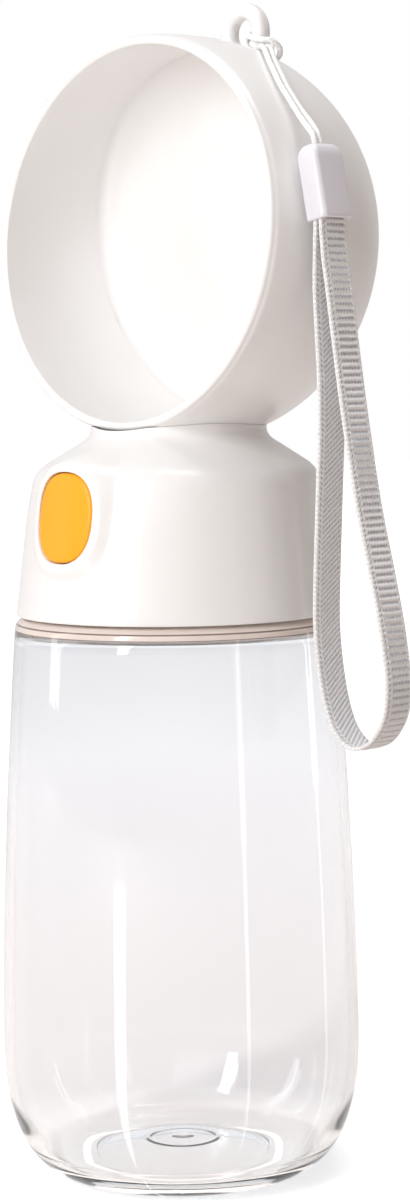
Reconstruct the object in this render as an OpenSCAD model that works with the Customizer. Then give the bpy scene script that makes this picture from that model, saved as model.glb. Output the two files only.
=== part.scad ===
// Dog travel water bottle: a clear bottle with a screw-on dispenser head, a
// drinking bowl on top of the head, a push button valve and a wrist lanyard.
// Millimetres, +Z up. The origin is the centre of the bottle's foot.
// The bowl opens towards -Y and the button faces -Y.

/* [Bottle] */
// Largest outer radius of the bottle
bottle_r = 36; // [35:0.5:38]
// Height of that widest ring above the foot
bottle_belly_z = 28; // [24:1:34]
// Height of the flat shoulder under the head
bottle_shoulder_z = 112.2; // [105:0.2:120]
// Outer radius just under the rounded shoulder
bottle_top_r = 32.2; // [31.4:0.1:33]
// Radius of the rounding between side and shoulder
bottle_shoulder_round = 2.4; // [1.5:0.1:3]
// Outer radius of the ring that the bottle stands on
bottle_foot_r = 21; // [20:0.5:24]
// Wall of the bottle
bottle_wall = 1.8; // [1.2:0.1:2.2]
// Thickness of the bottle's floor
bottle_floor = 2.6; // [2:0.1:3.4]
// Radius of the push-up under the floor
pushup_r = 17.8; // [15:0.1:18.5]
// Height of the push-up
pushup_h = 3.4; // [2:0.1:5]
// Outer radius of the neck between its threads
neck_r = 20; // [19:0.1:20.4]
// Wall of the neck
neck_wall = 2; // [1.6:0.1:2.4]
// Height of the neck above the shoulder
neck_h = 9.8; // [9.4:0.1:10.4]

/* [Thread] */
// Rise of the thread in one turn
thread_pitch = 3; // [2.6:0.1:3.2]
// Turns of thread on the neck
thread_turns = 1.5; // [1:0.25:1.5]
// Height of a thread ridge
thread_depth = 1.1; // [0.8:0.1:1.2]
// Width of a ridge at its root
thread_root_w = 1.3; // [1:0.1:1.4]
// Width of a ridge at its crest
thread_crest_w = 0.6; // [0.4:0.1:0.8]
// Radial play between neck and inner cap
thread_gap = 0.4; // [0.3:0.05:0.5]
// Height of the thread's start above the shoulder
thread_start = 2.2; // [2:0.1:3]

/* [Head shell] */
// Height of the open seam between bottle and head
seam_gap = 0.4; // [0.3:0.1:0.8]
// Outer radius of the head at its lower edge
skirt_r = 31.8; // [31.4:0.1:32.2]
// Outer radius where the shoulder of the head starts
skirt_top_r = 28.7; // [28.2:0.1:29.2]
// Height of the skirt from its lower edge to its shoulder
skirt_h = 25.6; // [25:0.2:27]
// Radius of the rounding at the top of the skirt
shoulder_round = 5; // [4:0.2:6]
// Slope of the shoulder away from vertical, in degrees
shoulder_slope = 58; // [54:1:62]
// Outer radius of the neck that carries the bowl
stem_r = 17.5; // [17:0.1:18]
// Radius of the hollow between shoulder and that neck
stem_round = 3; // [2:0.2:3.6]
// Wall of the head shell
shell_wall = 1.6; // [1.4:0.1:2]

/* [Bowl] */
// Outer radius of the bowl's rim
rim_r = 38.56; // [38:0.1:39]
// Height of the rim's centre above the foot
rim_z = 187.6; // [187:0.1:188.4]
// Distance of the rim's centre in front of the bottle's axis
rim_front = 11.1; // [10.6:0.1:11.6]
// Backward lean of the rim, in degrees
bowl_tilt = 4.6; // [3.6:0.2:5.6]
// Largest outer radius of the bowl
bowl_belly_r = 40.1; // [39.6:0.1:40.4]
// Depth of that radius behind the rim
bowl_belly_d = 15; // [14:0.5:17]
// Length of the rounded back, measured along the bowl
bowl_back_d = 28; // [26:0.5:29]
// Drop in radius over the rounded back
bowl_back_round = 20.6; // [20:0.2:22]
// Wall of the bowl
bowl_wall = 1.75; // [1.6:0.05:2]
// Depth of the bowl's floor along its axis
floor_d = 28.3; // [27.5:0.1:29]
// Lean of the floor, deeper at the bottom, in degrees
floor_lean = 10.8; // [9:0.2:12]
// Thickness of the floor plate
floor_t = 1.6; // [1.2:0.1:2]
// Radius of the shallow dish in the floor plate
floor_dish_r = 19; // [16:0.5:22]
// Depth of that dish
floor_dish_d = 0.6; // [0.4:0.1:0.8]
// Depth of the bowl's spigot in the head's neck
spigot_h = 5; // [4:0.5:5.5]
// Wall of that spigot
spigot_wall = 1.6; // [1.4:0.1:2]

/* [Eyelet] */
// Distance of the eyelet behind the bottle's axis
eye_y = 22; // [21.5:0.1:22.5]
// Height of the eyelet's centre above the bowl's widest ring
eye_rise = 0.9; // [0.6:0.1:1.4]
// Radius of the eyelet's centre line
eye_r = 4.4; // [4.3:0.1:4.6]
// Radius of the eyelet's round section
eye_section_r = 1.6; // [1.5:0.05:1.7]

/* [Button] */
// Height of the button's centre above the foot
button_z = 132.9; // [132.6:0.1:133.2]
// Half of the button's width
button_half_w = 7.6; // [7.2:0.1:7.8]
// Half of the button's height
button_half_h = 8.6; // [8.2:0.1:8.8]
// Width of the raised bezel around the button
bezel_w = 2.1; // [2:0.1:2.3]
// How far the bezel stands out of the skirt
bezel_out = 1; // [0.8:0.1:1.2]
// Play between button and bezel
button_gap = 0.15; // [0.1:0.05:0.2]
// Depth of the button behind its face
button_depth = 4; // [3.8:0.1:4.2]
// Wall of the button
button_wall = 1.4; // [1.2:0.1:1.6]
// Width of the button's retaining flange
button_flange = 0.9; // [0.7:0.1:1]
// Thickness of that flange
button_flange_t = 1; // [0.8:0.1:1.2]

/* [Inner cap] */
// Outer radius of the inner cap's skirt
inner_cap_r = 23.2; // [23:0.1:23.3]
// Thickness of the inner cap's top plate
plate_t = 2; // [1.8:0.1:2.2]
// Thickness of the seal on the bottle's mouth
seal_t = 1.2; // [1:0.1:1.4]
// Radial width of that seal
seal_w = 2.6; // [2.2:0.1:2.8]
// Thickness of the flange that closes the head from below
flange_t = 1.4; // [1.2:0.1:1.6]
// Play between that flange and the head shell
flange_gap = 0.1; // [0.05:0.05:0.2]

/* [Valve] */
// Outer radius of the valve body's barrel
valve_r = 6.8; // [6.6:0.1:6.9]
// Bore radius of the outlet chamber
outlet_bore_r = 4.6; // [4.4:0.1:4.8]
// Bore radius of the inlet chamber
inlet_bore_r = 5.2; // [5:0.1:5.3]
// Bore radius of the valve seat
seat_r = 3; // [2.8:0.1:3.2]
// Front end of the valve body, in front of the axis
valve_front = 17; // [16.6:0.1:17.4]
// Rear end of the valve body, behind the axis
valve_rear = 13.5; // [13:0.1:14]
// Front face of the wall that holds the seat, in front of the axis
seat_front = 0.8; // [0.6:0.1:1]
// Rear face of that wall, behind the axis
seat_rear = 1; // [0.8:0.1:1.2]
// Distance of the inlet behind the axis
inlet_y = 7; // [6.6:0.1:7.2]
// Bore radius of the inlet
inlet_r = 3.2; // [3:0.1:3.4]
// Radius of the foot around the inlet
foot_r = 7.4; // [7.2:0.1:7.6]
// Height of that foot
foot_h = 2; // [1.8:0.1:2.2]
// Thickness of the gasket under the foot
foot_gasket_t = 0.8; // [0.6:0.1:1]
// Distance of the outlet in front of the axis
outlet_y = 6; // [5.6:0.1:6.4]
// Bore radius of the outlet
outlet_r = 3; // [2.8:0.1:3.1]
// Outer radius of the outlet spigot
outlet_spigot_r = 3.9; // [3.8:0.1:4]
// Height of the outlet spigot above the push rod
outlet_spigot_h = 11; // [10:0.5:12]
// Wall of the silicone outlet tube
tube_wall = 1.2; // [1:0.1:1.3]
// Radial width of the outlet's seal in the bowl
spout_seal_w = 1.1; // [1:0.1:1.3]
// Radius of the push rod
rod_r = 1.5; // [1.4:0.05:1.6]
// Radial play of the push rod in its bore
rod_gap = 0.08; // [0.05:0.01:0.1]
// Outer radius of the push rod's seal ring
rod_seal_r = 3.1; // [3:0.05:3.2]
// Width of the push rod's seal ring
rod_seal_w = 1.8; // [1.6:0.1:2]
// Thickness of the gland cap's flange
gland_t = 1.2; // [1:0.1:1.4]
// Radius of the gland cap's flange
gland_r = 5.8; // [5.6:0.1:6.2]
// Radius of the valve disc
disc_r = 4.4; // [4.2:0.1:4.6]
// Thickness of the valve disc
disc_t = 1.6; // [1.4:0.1:1.8]
// Thickness of the rubber face on the valve disc
disc_seal_t = 0.9; // [0.8:0.1:1]
// Outer radius of the clip on the end of the rod
clip_r = 2.9; // [2.7:0.1:3]
// Thickness of that clip
clip_t = 0.6; // [0.5:0.1:0.7]
// Thickness of the plug behind the spring, inside the bore
plug_t = 2.5; // [2.4:0.1:2.6]
// Thickness of the plug's outer flange
plug_flange_t = 1.2; // [1:0.1:1.4]
// Wire radius of the valve spring
spring_wire_r = 0.3; // [0.25:0.05:0.35]
// Radius of the valve spring's centre line
spring_r = 3.7; // [3.6:0.1:3.9]
// Turns of the valve spring
spring_turns = 5; // [4:1:6]

/* [Small parts] */
// Distance of each valve screw from the inlet's centre
screw_x = 10; // [9.6:0.1:10.4]
// Radius of a screw's shank
screw_r = 1; // [0.9:0.05:1.1]
// Radius of a screw's head
screw_head_r = 1.9; // [1.8:0.1:2]
// Depth of a screw's shank below its head
screw_len = 3.2; // [3:0.1:3.4]
// Distance of the vent from the axis, to the side
vent_x = 12.6; // [12:0.1:13]
// Distance of the vent in front of the axis
vent_y = 7; // [6:0.5:8]
// Radius of the vent valve's flap
vent_r = 2.8; // [2.4:0.1:3]
// Radius of the vent valve's stem
vent_stem_r = 0.9; // [0.8:0.1:1]

/* [Lanyard] */
// Diameter of the cord
cord_d = 1.1; // [1:0.05:1.2]
// Thickness of the ferrule
ferrule_t = 5.2; // [5:0.1:5.4]
// Length of the ferrule
ferrule_len = 14.3; // [14:0.1:15]
// Wall of its wide faces
ferrule_wall = 1; // [0.8:0.1:1.2]
// Wall of its narrow sides
ferrule_side_wall = 0.35; // [0.3:0.05:0.5]
// Roof of the ferrule, which the cord runs through
ferrule_roof = 2; // [1.6:0.1:2.4]
// Radius of its upright edges
ferrule_corner = 1.2; // [1:0.1:1.3]
// Height of the plug above the ferrule's foot
ferrule_plug_low = 2.2; // [2:0.1:2.6]
// Gap between that plug and the roof
ferrule_plug_gap = 1.2; // [1:0.1:1.5]
// Width of the webbing
webbing_w = 7.2; // [6.8:0.1:7.4]
// Thickness of the webbing
webbing_t = 0.9; // [0.8:0.05:1]

/* [Hidden] */
$fn = 96;
eps = 0.01;
press = 0.05;                                   // play of pieces that are pushed together
thread_foot = 0.3;                              // how deep a thread's ridge stands in its wall
rod_end = 0.6;                                  // length of the push rod behind its clip
spigot_up = 4;                                  // how far the bowl's spigot reaches into the bowl
eye_root_r = 4.2;                               // root of the eyelet: radius where it starts,
eye_root_top_r = 2.4;                           // radius where it meets the ring,
eye_root_low = 2.5;                             // its start below the ring,
eye_root_h = 3.4;                               // and its height
inlet_wall = 2;                                 // wall of the valve's inlet pipe
lug_half = 2.4;                                 // half the width of the valve's screw lugs
foot_gasket_w = 2.6;                            // width of the gasket under the valve's foot
plug_groove_y = 0.8;                            // start of the plug's groove behind its front
plug_groove_w = 1;                              // width of that groove
plug_groove_d = 0.9;                            // depth of that groove
spout_seal_h = 12;                              // height of the grommet before the bowl cuts it
spout_seal_low = 0.6;                           // its start below the bowl's wall
screw_head_h = 1.2;                             // height of a screw's head
screw_slot_w = 0.5;                             // width of the cross in that head
screw_slot_len = 2.2;                           // length of the cross in that head
vent_cap_h = 0.8;                               // height of the vent's umbrella
vent_knob_h = 1.4;                              // height of the knob that holds the vent
vent_knob_out = 0.4;                            // how far that knob stands out
slab = 120;                                     // side of the slab that cuts the bowl's floor
white = [0.95, 0.95, 0.94];
silicone = [0.82, 0.82, 0.80];

mouth_z = bottle_shoulder_z + neck_h;           // top of the bottle's neck
plate_z = mouth_z + seal_t;                     // underside of the inner cap's plate
deck_z = plate_z + plate_t;                     // top of that plate
skirt_z = bottle_shoulder_z + seam_gap;         // lower edge of the head
skirt_top_z = skirt_z + skirt_h;
skirt_slope = (skirt_r - skirt_top_r) / skirt_h;
thread_bore_r = neck_r + thread_depth + thread_gap;
gasket_r = neck_r + thread_depth / 2;
bowl_len = bowl_belly_d + bowl_back_d;
eye_z = rim_z + bowl_belly_r + eye_rise;        // height of the eyelet's centre
tube_r = outlet_spigot_r + press + tube_wall;
spout_bore_r = tube_r + spout_seal_w;
chamber_front = valve_front - rod_seal_w - 2;   // front end of the outlet chamber
spring_front = seat_rear + disc_seal_t + disc_t;
plug_front = valve_rear - plug_t;

function arc(cx, cz, r, a0, a1, n) =
    [for (i = [0 : n]) let (a = a0 + (a1 - a0) * i / n) [cx + r * cos(a), cz + r * sin(a)]];
function reverse(list) = [for (i = [len(list) - 1 : -1 : 0]) list[i]];

// Outer radius of the bottle at a height: a rounded foot, then a slow taper
foot_power = 2.4;
taper_power = 1.56;
side_top_z = bottle_shoulder_z - bottle_shoulder_round;
function foot_side(z) =
    bottle_foot_r + (bottle_r - bottle_foot_r)
    * pow(1 - pow((bottle_belly_z - z) / bottle_belly_z, foot_power), 1 / foot_power);
function upper_side(z) =
    bottle_r - (bottle_r - bottle_top_r)
    * pow((z - bottle_belly_z) / (side_top_z - bottle_belly_z), taper_power);
function bottle_side(z) = z < bottle_belly_z ? foot_side(max(z, 0)) : upper_side(z);

// Outer radius of the bowl at a depth behind the rim
function bowl_side(d, inset = 0) =
    d < bowl_belly_d
    ? bowl_belly_r - inset - (bowl_belly_r - rim_r) * pow((bowl_belly_d - d) / bowl_belly_d, 2)
    : bowl_belly_r - inset - (bowl_back_round - inset)
      * (1 - sqrt(max(0, 1 - pow((d - bowl_belly_d) / (bowl_back_d - inset), 2))));

// Outer profile of the head from its lower edge to above its neck
line_r = skirt_top_r - shoulder_round + shoulder_round * cos(shoulder_slope);
line_z = skirt_top_z + shoulder_round * sin(shoulder_slope);
hollow_r = stem_r + stem_round - stem_round * cos(shoulder_slope);
hollow_z = line_z + (line_r - hollow_r) / tan(shoulder_slope);
stem_z = hollow_z + stem_round * sin(shoulder_slope);
head_top_z = rim_z - bowl_belly_r + 12;

function head_profile(inset) = concat(
    [[skirt_r - inset, skirt_z], [skirt_top_r - inset, skirt_top_z]],
    arc(skirt_top_r - shoulder_round, skirt_top_z, shoulder_round - inset, 6, shoulder_slope, 6),
    arc(stem_r + stem_round, stem_z, stem_round + inset, 180 + shoulder_slope, 180, 6),
    [[stem_r - inset, head_top_z]]);

// One helical ridge as a closed strip of triangles. It grows in from nothing
// over its first and last twelfth of a turn, and stands from r_root to r_crest.
module thread_ridge(r_root, r_crest, z_start, turns) {
    steps = round(turns * 24);
    grow = 2;
    ring = [for (i = [0 : steps])
        let (a = i * 360 / 24,
             h = min(1, (i + 0.4) / grow, (steps - i + 0.4) / grow),
             tip = r_root + (r_crest - r_root) * h,
             z = z_start + thread_pitch * i / 24)
        [[r_root * cos(a), r_root * sin(a), z - thread_root_w / 2 * h],
         [tip * cos(a), tip * sin(a), z - thread_crest_w / 2 * h],
         [tip * cos(a), tip * sin(a), z + thread_crest_w / 2 * h],
         [r_root * cos(a), r_root * sin(a), z + thread_root_w / 2 * h]]];
    tube_mesh(ring, r_crest < r_root);
}

// A closed tube through rings of equally many points
module tube_mesh(rings, flip = false) {
    n = len(rings[0]);
    m = len(rings);
    points = [for (r = rings) each r];
    sides = [for (i = [0 : m - 2], j = [0 : n - 1])
        let (a = i * n + j, b = i * n + (j + 1) % n, c = a + n, d = b + n)
        each [[a, b, c], [b, d, c]]];
    first = [for (j = [1 : n - 2]) [0, j + 1, j]];
    last = [for (j = [1 : n - 2]) let (k = (m - 1) * n) [k, k + j, k + j + 1]];
    faces = concat(sides, first, last);
    polyhedron(points, flip ? [for (f = faces) [f[0], f[2], f[1]]] : faces);
}

// A straight-sided oval with round ends, tall along Z, extruded along Y
module oval_bar(half_w, half_h, y_front, y_rear) {
    flat = half_h - half_w;
    translate([0, y_rear, button_z]) rotate([90, 0, 0]) linear_extrude(y_rear - y_front) union() {
        translate([0, flat]) circle(half_w);
        translate([0, -flat]) circle(half_w);
        translate([-half_w, -flat]) square([2 * half_w, 2 * flat]);
    }
}

// A cylinder along Y
module bar_y(r, y_front, y_rear, x = 0, z = button_z) {
    translate([x, y_rear, z]) rotate([90, 0, 0]) cylinder(r = r, h = y_rear - y_front);
}

// The cone that the bezel's and the button's faces follow, sunk by a depth
module face_cone(sink) {
    low = skirt_z + 4;
    high = skirt_top_z + 8;
    translate([0, 0, low])
        cylinder(r1 = skirt_r + bezel_out - sink - skirt_slope * (low - skirt_z),
                 r2 = skirt_r + bezel_out - sink - skirt_slope * (high - skirt_z), h = high - low);
}

face_y = -(skirt_r + bezel_out - skirt_slope * (button_z - skirt_z));
button_sink = 0.15;                             // depth of the button's face behind the bezel's
button_hollow_y = face_y + button_wall + 1;     // front end of the hollow behind the button's face
flange_front = face_y + button_depth - button_flange_t;
bezel_half_w = button_half_w + bezel_w;
bezel_half_h = button_half_h + bezel_w - 0.2;
sleeve_rear = face_y + button_depth + 1.2;

// The bowl's own frame: its Z runs back along the bowl, its Y down
module in_bowl() {
    translate([0, -rim_front, rim_z]) rotate([-(90 + bowl_tilt), 0, 0]) children();
}

// ---------------------------------------------------------------- bottle
module bottle() {
    outer = concat(
        [[pushup_r, 0], [bottle_foot_r, 0]],
        [for (i = [1 : 9]) let (z = bottle_belly_z * pow(i / 9, 1.7)) [foot_side(z), z]],
        [for (i = [1 : 7]) let (z = bottle_belly_z + (side_top_z - bottle_belly_z) * i / 7)
            [upper_side(z), z]],
        arc(bottle_top_r - bottle_shoulder_round, side_top_z, bottle_shoulder_round, 15, 90, 5),
        [[neck_r, bottle_shoulder_z], [neck_r, mouth_z]]);
    inner_top = side_top_z - 0.6;
    inner = concat(
        [[neck_r - neck_wall, mouth_z], [neck_r - neck_wall, bottle_shoulder_z - bottle_wall],
         [bottle_top_r - bottle_wall - 1.6, bottle_shoulder_z - bottle_wall]],
        reverse([for (i = [0 : 12]) let (z = 6 + (inner_top - 6) * i / 12)
            [bottle_side(z) - bottle_wall, z]]),
        [[bottle_side(6) - bottle_wall - 3, bottle_floor + 0.8],
         [pushup_r + 2, bottle_floor], [pushup_r - 2, bottle_floor + pushup_h - 0.6],
         [0, bottle_floor + pushup_h]]);
    base = [[0, pushup_h], [pushup_r - 1.4, pushup_h - 0.8]];
    color([0.90, 0.93, 0.94, 0.4]) union() {
        rotate_extrude() polygon(concat(outer, inner, base));
        thread_ridge(neck_r - thread_foot, neck_r + thread_depth,
                     bottle_shoulder_z + thread_start, thread_turns);
    }
}

// ---------------------------------------------------------------- head
module neck_gasket() {
    color(silicone) translate([0, 0, mouth_z]) difference() {
        cylinder(r = gasket_r, h = seal_t);
        translate([0, 0, -1]) cylinder(r = gasket_r - seal_w, h = seal_t + 2);
    }
}

module inner_cap() {
    flange_z = skirt_z + 0.3;
    flange_r = skirt_r - shell_wall - flange_gap - skirt_slope * (flange_z + flange_t - skirt_z);
    color(white) union() {
        thread_ridge(thread_bore_r + thread_foot, thread_bore_r - thread_depth,
                     bottle_shoulder_z + thread_start + thread_pitch / 2, thread_turns);
        difference() {
            union() {
                translate([0, 0, skirt_z]) cylinder(r = inner_cap_r, h = deck_z - skirt_z);
                translate([0, 0, flange_z]) cylinder(r = flange_r, h = flange_t);
            }
            translate([0, 0, skirt_z - 1]) cylinder(r = thread_bore_r, h = plate_z - skirt_z + 1);
            translate([0, inlet_y, plate_z - 1]) cylinder(r = inlet_r, h = plate_t + 2);
            translate([vent_x, -vent_y, plate_z - 1])
                cylinder(r = vent_stem_r + press, h = plate_t + 2);
            for (side = [-1, 1])
                translate([side * screw_x, inlet_y, deck_z + foot_h - screw_len - press])
                    cylinder(r = screw_r + press, h = screw_len);
        }
    }
}

// The button's sleeve and bezel, clipped to the faces of the skirt
module button_sleeve() {
    intersection() {
        oval_bar(bezel_half_w, bezel_half_h, -skirt_r - 3, sleeve_rear);
        face_cone(0);
    }
}

module head_shell() {
    color(white) difference() {
        union() {
            rotate_extrude() polygon(concat(head_profile(0), reverse(head_profile(shell_wall))));
            button_sleeve();
        }
        oval_bar(button_half_w + button_gap, button_half_h + button_gap, -skirt_r - 5, 0);
        oval_bar(button_half_w + button_flange + button_gap,
                 button_half_h + button_flange + button_gap, flange_front, 0);
        in_bowl() bowl_blank(press);
    }
}

// ---------------------------------------------------------------- bowl
// The space that the bowl takes up, with what lies in front of its rim
module bowl_blank(grow) {
    rotate_extrude() polygon(concat(
        [[0, -rim_front], [rim_r + grow, -rim_front]],
        [for (i = [0 : 4]) let (d = bowl_belly_d * i / 4) [bowl_side(d) + grow, d]],
        [for (i = [1 : 5]) let (d = bowl_belly_d + bowl_back_d * i / 6) [bowl_side(d) + grow, d]],
        [[0, bowl_len + grow]]));
}

// The space inside the bowl, shrunk by a clearance
module bowl_space(shrink) {
    inset = bowl_wall + shrink;
    rotate_extrude() polygon(concat(
        [[0, -1], [rim_r - inset, -1]],
        [for (i = [0 : 6]) let (d = bowl_belly_d * i / 6) [bowl_side(d, inset), d]],
        [for (i = [1 : 10]) let (d = bowl_belly_d + (bowl_back_d - inset) * sin(9 * i))
            [bowl_side(d, inset), d]],
        [[0, bowl_len - inset]]));
}

module bowl_shell() {
    spigot_low = stem_z - spigot_h;
    color(white) difference() {
        union() {
            in_bowl() rotate_extrude() polygon(concat(
                [[0, 0], [rim_r - bowl_wall, 0], [rim_r - bowl_wall * 0.75, -0.5],
                 [rim_r - bowl_wall * 0.25, -0.5], [rim_r, 0]],
                [for (i = [1 : 6]) let (d = bowl_belly_d * i / 6) [bowl_side(d), d]],
                [for (i = [1 : 10]) let (d = bowl_belly_d + bowl_back_d * sin(9 * i))
                    [bowl_side(d), d]],
                [[0, bowl_len]]));
            // spigot that sits in the head's neck
            translate([0, 0, spigot_low])
                cylinder(r = stem_r - shell_wall - press, h = rim_z - bowl_belly_r + spigot_up - spigot_low);
            // eyelet for the cord
            translate([0, eye_y, eye_z]) rotate([90, 0, 0]) rotate_extrude()
                translate([eye_r, 0]) circle(eye_section_r, $fn = 32);
            // root of the eyelet
            translate([0, eye_y, eye_z - eye_r - eye_section_r - eye_root_low])
                cylinder(r1 = eye_root_r, r2 = eye_root_top_r, h = eye_root_h);
        }
        in_bowl() bowl_space(0);
        difference() {
            translate([0, 0, spigot_low - 1])
                cylinder(r = stem_r - shell_wall - press - spigot_wall, h = rim_z - spigot_low);
            in_bowl() bowl_blank(0);
        }
        translate([0, -outlet_y, button_z]) cylinder(r = spout_bore_r, h = rim_z - button_z);
    }
}

// A slab behind the plane of the bowl's floor, in the bowl's frame
module floor_slab(front, thick) {
    translate([0, 0, floor_d + front]) rotate([floor_lean, 0, 0])
        translate([-slab / 2, -slab / 2, 0]) cube([slab, slab, thick]);
}

module bowl_floor() {
    color(white) in_bowl() difference() {
        intersection() {
            bowl_space(press);
            floor_slab(0, floor_t);
        }
        translate([0, 0, floor_d]) rotate([floor_lean, 0, 0])
            translate([0, 0, -1]) cylinder(r1 = floor_dish_r + 1, r2 = floor_dish_r - floor_dish_d,
                                           h = 1 + floor_dish_d);
    }
}

// ---------------------------------------------------------------- valve
module valve_body() {
    pipe_top = button_z + outlet_spigot_h;
    color(white) difference() {
        union() {
            bar_y(valve_r, -valve_front, valve_rear);
            translate([0, inlet_y, deck_z]) cylinder(r = foot_r, h = foot_h);
            translate([0, inlet_y, deck_z]) cylinder(r = inlet_r + inlet_wall, h = button_z - deck_z);
            translate([-screw_x - lug_half, inlet_y - lug_half, deck_z])
                cube([2 * (screw_x + lug_half), 2 * lug_half, foot_h]);
            translate([0, -outlet_y, button_z]) cylinder(r = outlet_spigot_r, h = outlet_spigot_h);
        }
        bar_y(inlet_bore_r, seat_rear, valve_rear + 1);
        bar_y(outlet_bore_r, -chamber_front, -seat_front);
        bar_y(seat_r, -seat_front - 1, seat_rear + 1);
        bar_y(rod_r + rod_gap, -valve_front - 1, -chamber_front + 1);
        bar_y(rod_seal_r, -valve_front - 1, -valve_front + rod_seal_w);
        bar_y(valve_r + press, valve_rear, valve_rear + plug_flange_t + press);
        translate([0, inlet_y, deck_z - 1]) cylinder(r = inlet_r, h = button_z - deck_z + 1);
        translate([0, inlet_y, deck_z - 1]) cylinder(r = inlet_r + foot_gasket_w, h = 1 + foot_gasket_t);
        translate([0, -outlet_y, button_z]) cylinder(r = outlet_r, h = pipe_top - button_z + 1);
        for (side = [-1, 1])
            translate([side * screw_x, inlet_y, deck_z - 1]) cylinder(r = screw_r + 0.1, h = foot_h + 2);
    }
}

module valve_gasket() {
    color(silicone) translate([0, inlet_y, deck_z]) difference() {
        cylinder(r = inlet_r + foot_gasket_w - press, h = foot_gasket_t - press);
        translate([0, 0, -1]) cylinder(r = inlet_r, h = foot_gasket_t + 2);
    }
}

module valve_screws() {
    color("silver") for (side = [-1, 1])
        translate([side * screw_x, inlet_y, deck_z + foot_h]) difference() {
            union() {
                cylinder(r1 = screw_head_r, r2 = screw_head_r - 0.3, h = screw_head_h);
                translate([0, 0, -screw_len + press]) cylinder(r = screw_r, h = screw_len);
            }
            for (turn = [0, 90]) rotate([0, 0, turn])
                translate([-screw_slot_len / 2, -screw_slot_w / 2, screw_head_h / 2])
                    cube([screw_slot_len, screw_slot_w, screw_head_h]);
        }
}

module gland_cap() {
    color(white) difference() {
        union() {
            bar_y(gland_r, -valve_front - gland_t, -valve_front);
            bar_y(rod_seal_r - press, -valve_front - eps, -valve_front + 0.3);
        }
        bar_y(rod_r + rod_gap, -valve_front - gland_t - 1, -valve_front + 1);
    }
}

module rod_seal() {
    color("dimgray") difference() {
        bar_y(rod_seal_r - press, -valve_front + 0.35, -valve_front + rod_seal_w - press);
        bar_y(rod_r + press, -valve_front - 1, -valve_front + rod_seal_w + 1);
    }
}

module valve_plug() {
    color(white) difference() {
        union() {
            bar_y(inlet_bore_r - press, plug_front, valve_rear);
            bar_y(valve_r, valve_rear, valve_rear + plug_flange_t);
        }
        difference() {
            bar_y(inlet_bore_r + 1, plug_front + plug_groove_y, plug_front + plug_groove_y + plug_groove_w);
            bar_y(inlet_bore_r - plug_groove_d, plug_front, valve_rear);
        }
    }
}

module plug_seal() {
    color("dimgray") difference() {
        bar_y(inlet_bore_r - press / 2, plug_front + plug_groove_y + press,
              plug_front + plug_groove_y + plug_groove_w - press);
        bar_y(inlet_bore_r - plug_groove_d + press / 2, plug_front, valve_rear);
    }
}

module outlet_tube() {
    low = button_z + valve_r + 0.2;
    color(silicone) difference() {
        translate([0, -outlet_y, low]) cylinder(r = tube_r, h = rim_z - low);
        translate([0, -outlet_y, low - 1])
            cylinder(r = outlet_spigot_r + press, h = rim_z - low + 2);
        in_bowl() bowl_space(-0.4);
    }
}

module spout_seal() {
    low = rim_z - bowl_belly_r - spout_seal_low;
    color(silicone) difference() {
        translate([0, -outlet_y, low]) cylinder(r = spout_bore_r - press, h = spout_seal_h);
        translate([0, -outlet_y, low - 1]) cylinder(r = tube_r + press / 2, h = spout_seal_h + 2);
        in_bowl() bowl_space(0);
    }
}

module vent_valve() {
    color(silicone) translate([vent_x, -vent_y, 0]) union() {
        translate([0, 0, deck_z]) cylinder(r1 = vent_r, r2 = vent_r - vent_cap_h, h = vent_cap_h);
        translate([0, 0, plate_z - 0.6]) cylinder(r = vent_stem_r, h = plate_t + 0.8);
        translate([0, 0, plate_z - vent_knob_h])
            cylinder(r1 = vent_stem_r, r2 = vent_stem_r + vent_knob_out, h = vent_knob_h - press);
    }
}

// ---------------------------------------------------------------- button and rod
module button() {
    boss_r = rod_r + 1.2;
    back = face_y + button_depth;
    color([0.98, 0.72, 0.16]) difference() {
        union() {
            intersection() {
                oval_bar(button_half_w, button_half_h, -skirt_r - 3, back);
                face_cone(button_sink);
            }
            oval_bar(button_half_w + button_flange, button_half_h + button_flange,
                     flange_front + press, back);
        }
        difference() {
            oval_bar(button_half_w - button_wall, button_half_h - button_wall,
                     button_hollow_y, back + 1);
            bar_y(boss_r, face_y, back + 2);
        }
        bar_y(rod_r + press / 2, button_hollow_y, back + 2);
    }
}

module push_rod() {
    color("lightgray") bar_y(rod_r, button_hollow_y + press, spring_front + clip_t + rod_end);
}

module valve_disc() {
    color(white) difference() {
        bar_y(disc_r, seat_rear + disc_seal_t, spring_front);
        bar_y(rod_r + press / 2, 0, spring_front + 1);
    }
}

module disc_seal() {
    color("dimgray") difference() {
        bar_y(disc_r - 0.1, seat_rear + press / 2, seat_rear + disc_seal_t);
        bar_y(rod_r + press / 2, 0, spring_front);
    }
}

module rod_clip() {
    color("silver") difference() {
        bar_y(clip_r, spring_front, spring_front + clip_t);
        bar_y(rod_r + press / 2, spring_front - 1, spring_front + 2);
        translate([-rod_r * 0.7, spring_front - 1, button_z - clip_r - 1])
            cube([rod_r * 1.4, 3, clip_r]);
    }
}

module valve_spring() {
    steps = 8 * spring_turns;
    low = spring_front + spring_wire_r + press;
    high = plug_front - spring_wire_r - press;
    rings = [for (i = [0 : steps])
        let (a = i * 45, y = low + (high - low) * i / steps)
        [for (k = [0 : 5]) let (b = k * 60, r = spring_r + spring_wire_r * cos(b))
            [r * cos(a), y + spring_wire_r * sin(b), button_z + r * sin(a)]]];
    color("silver") tube_mesh(rings, true);
}

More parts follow.
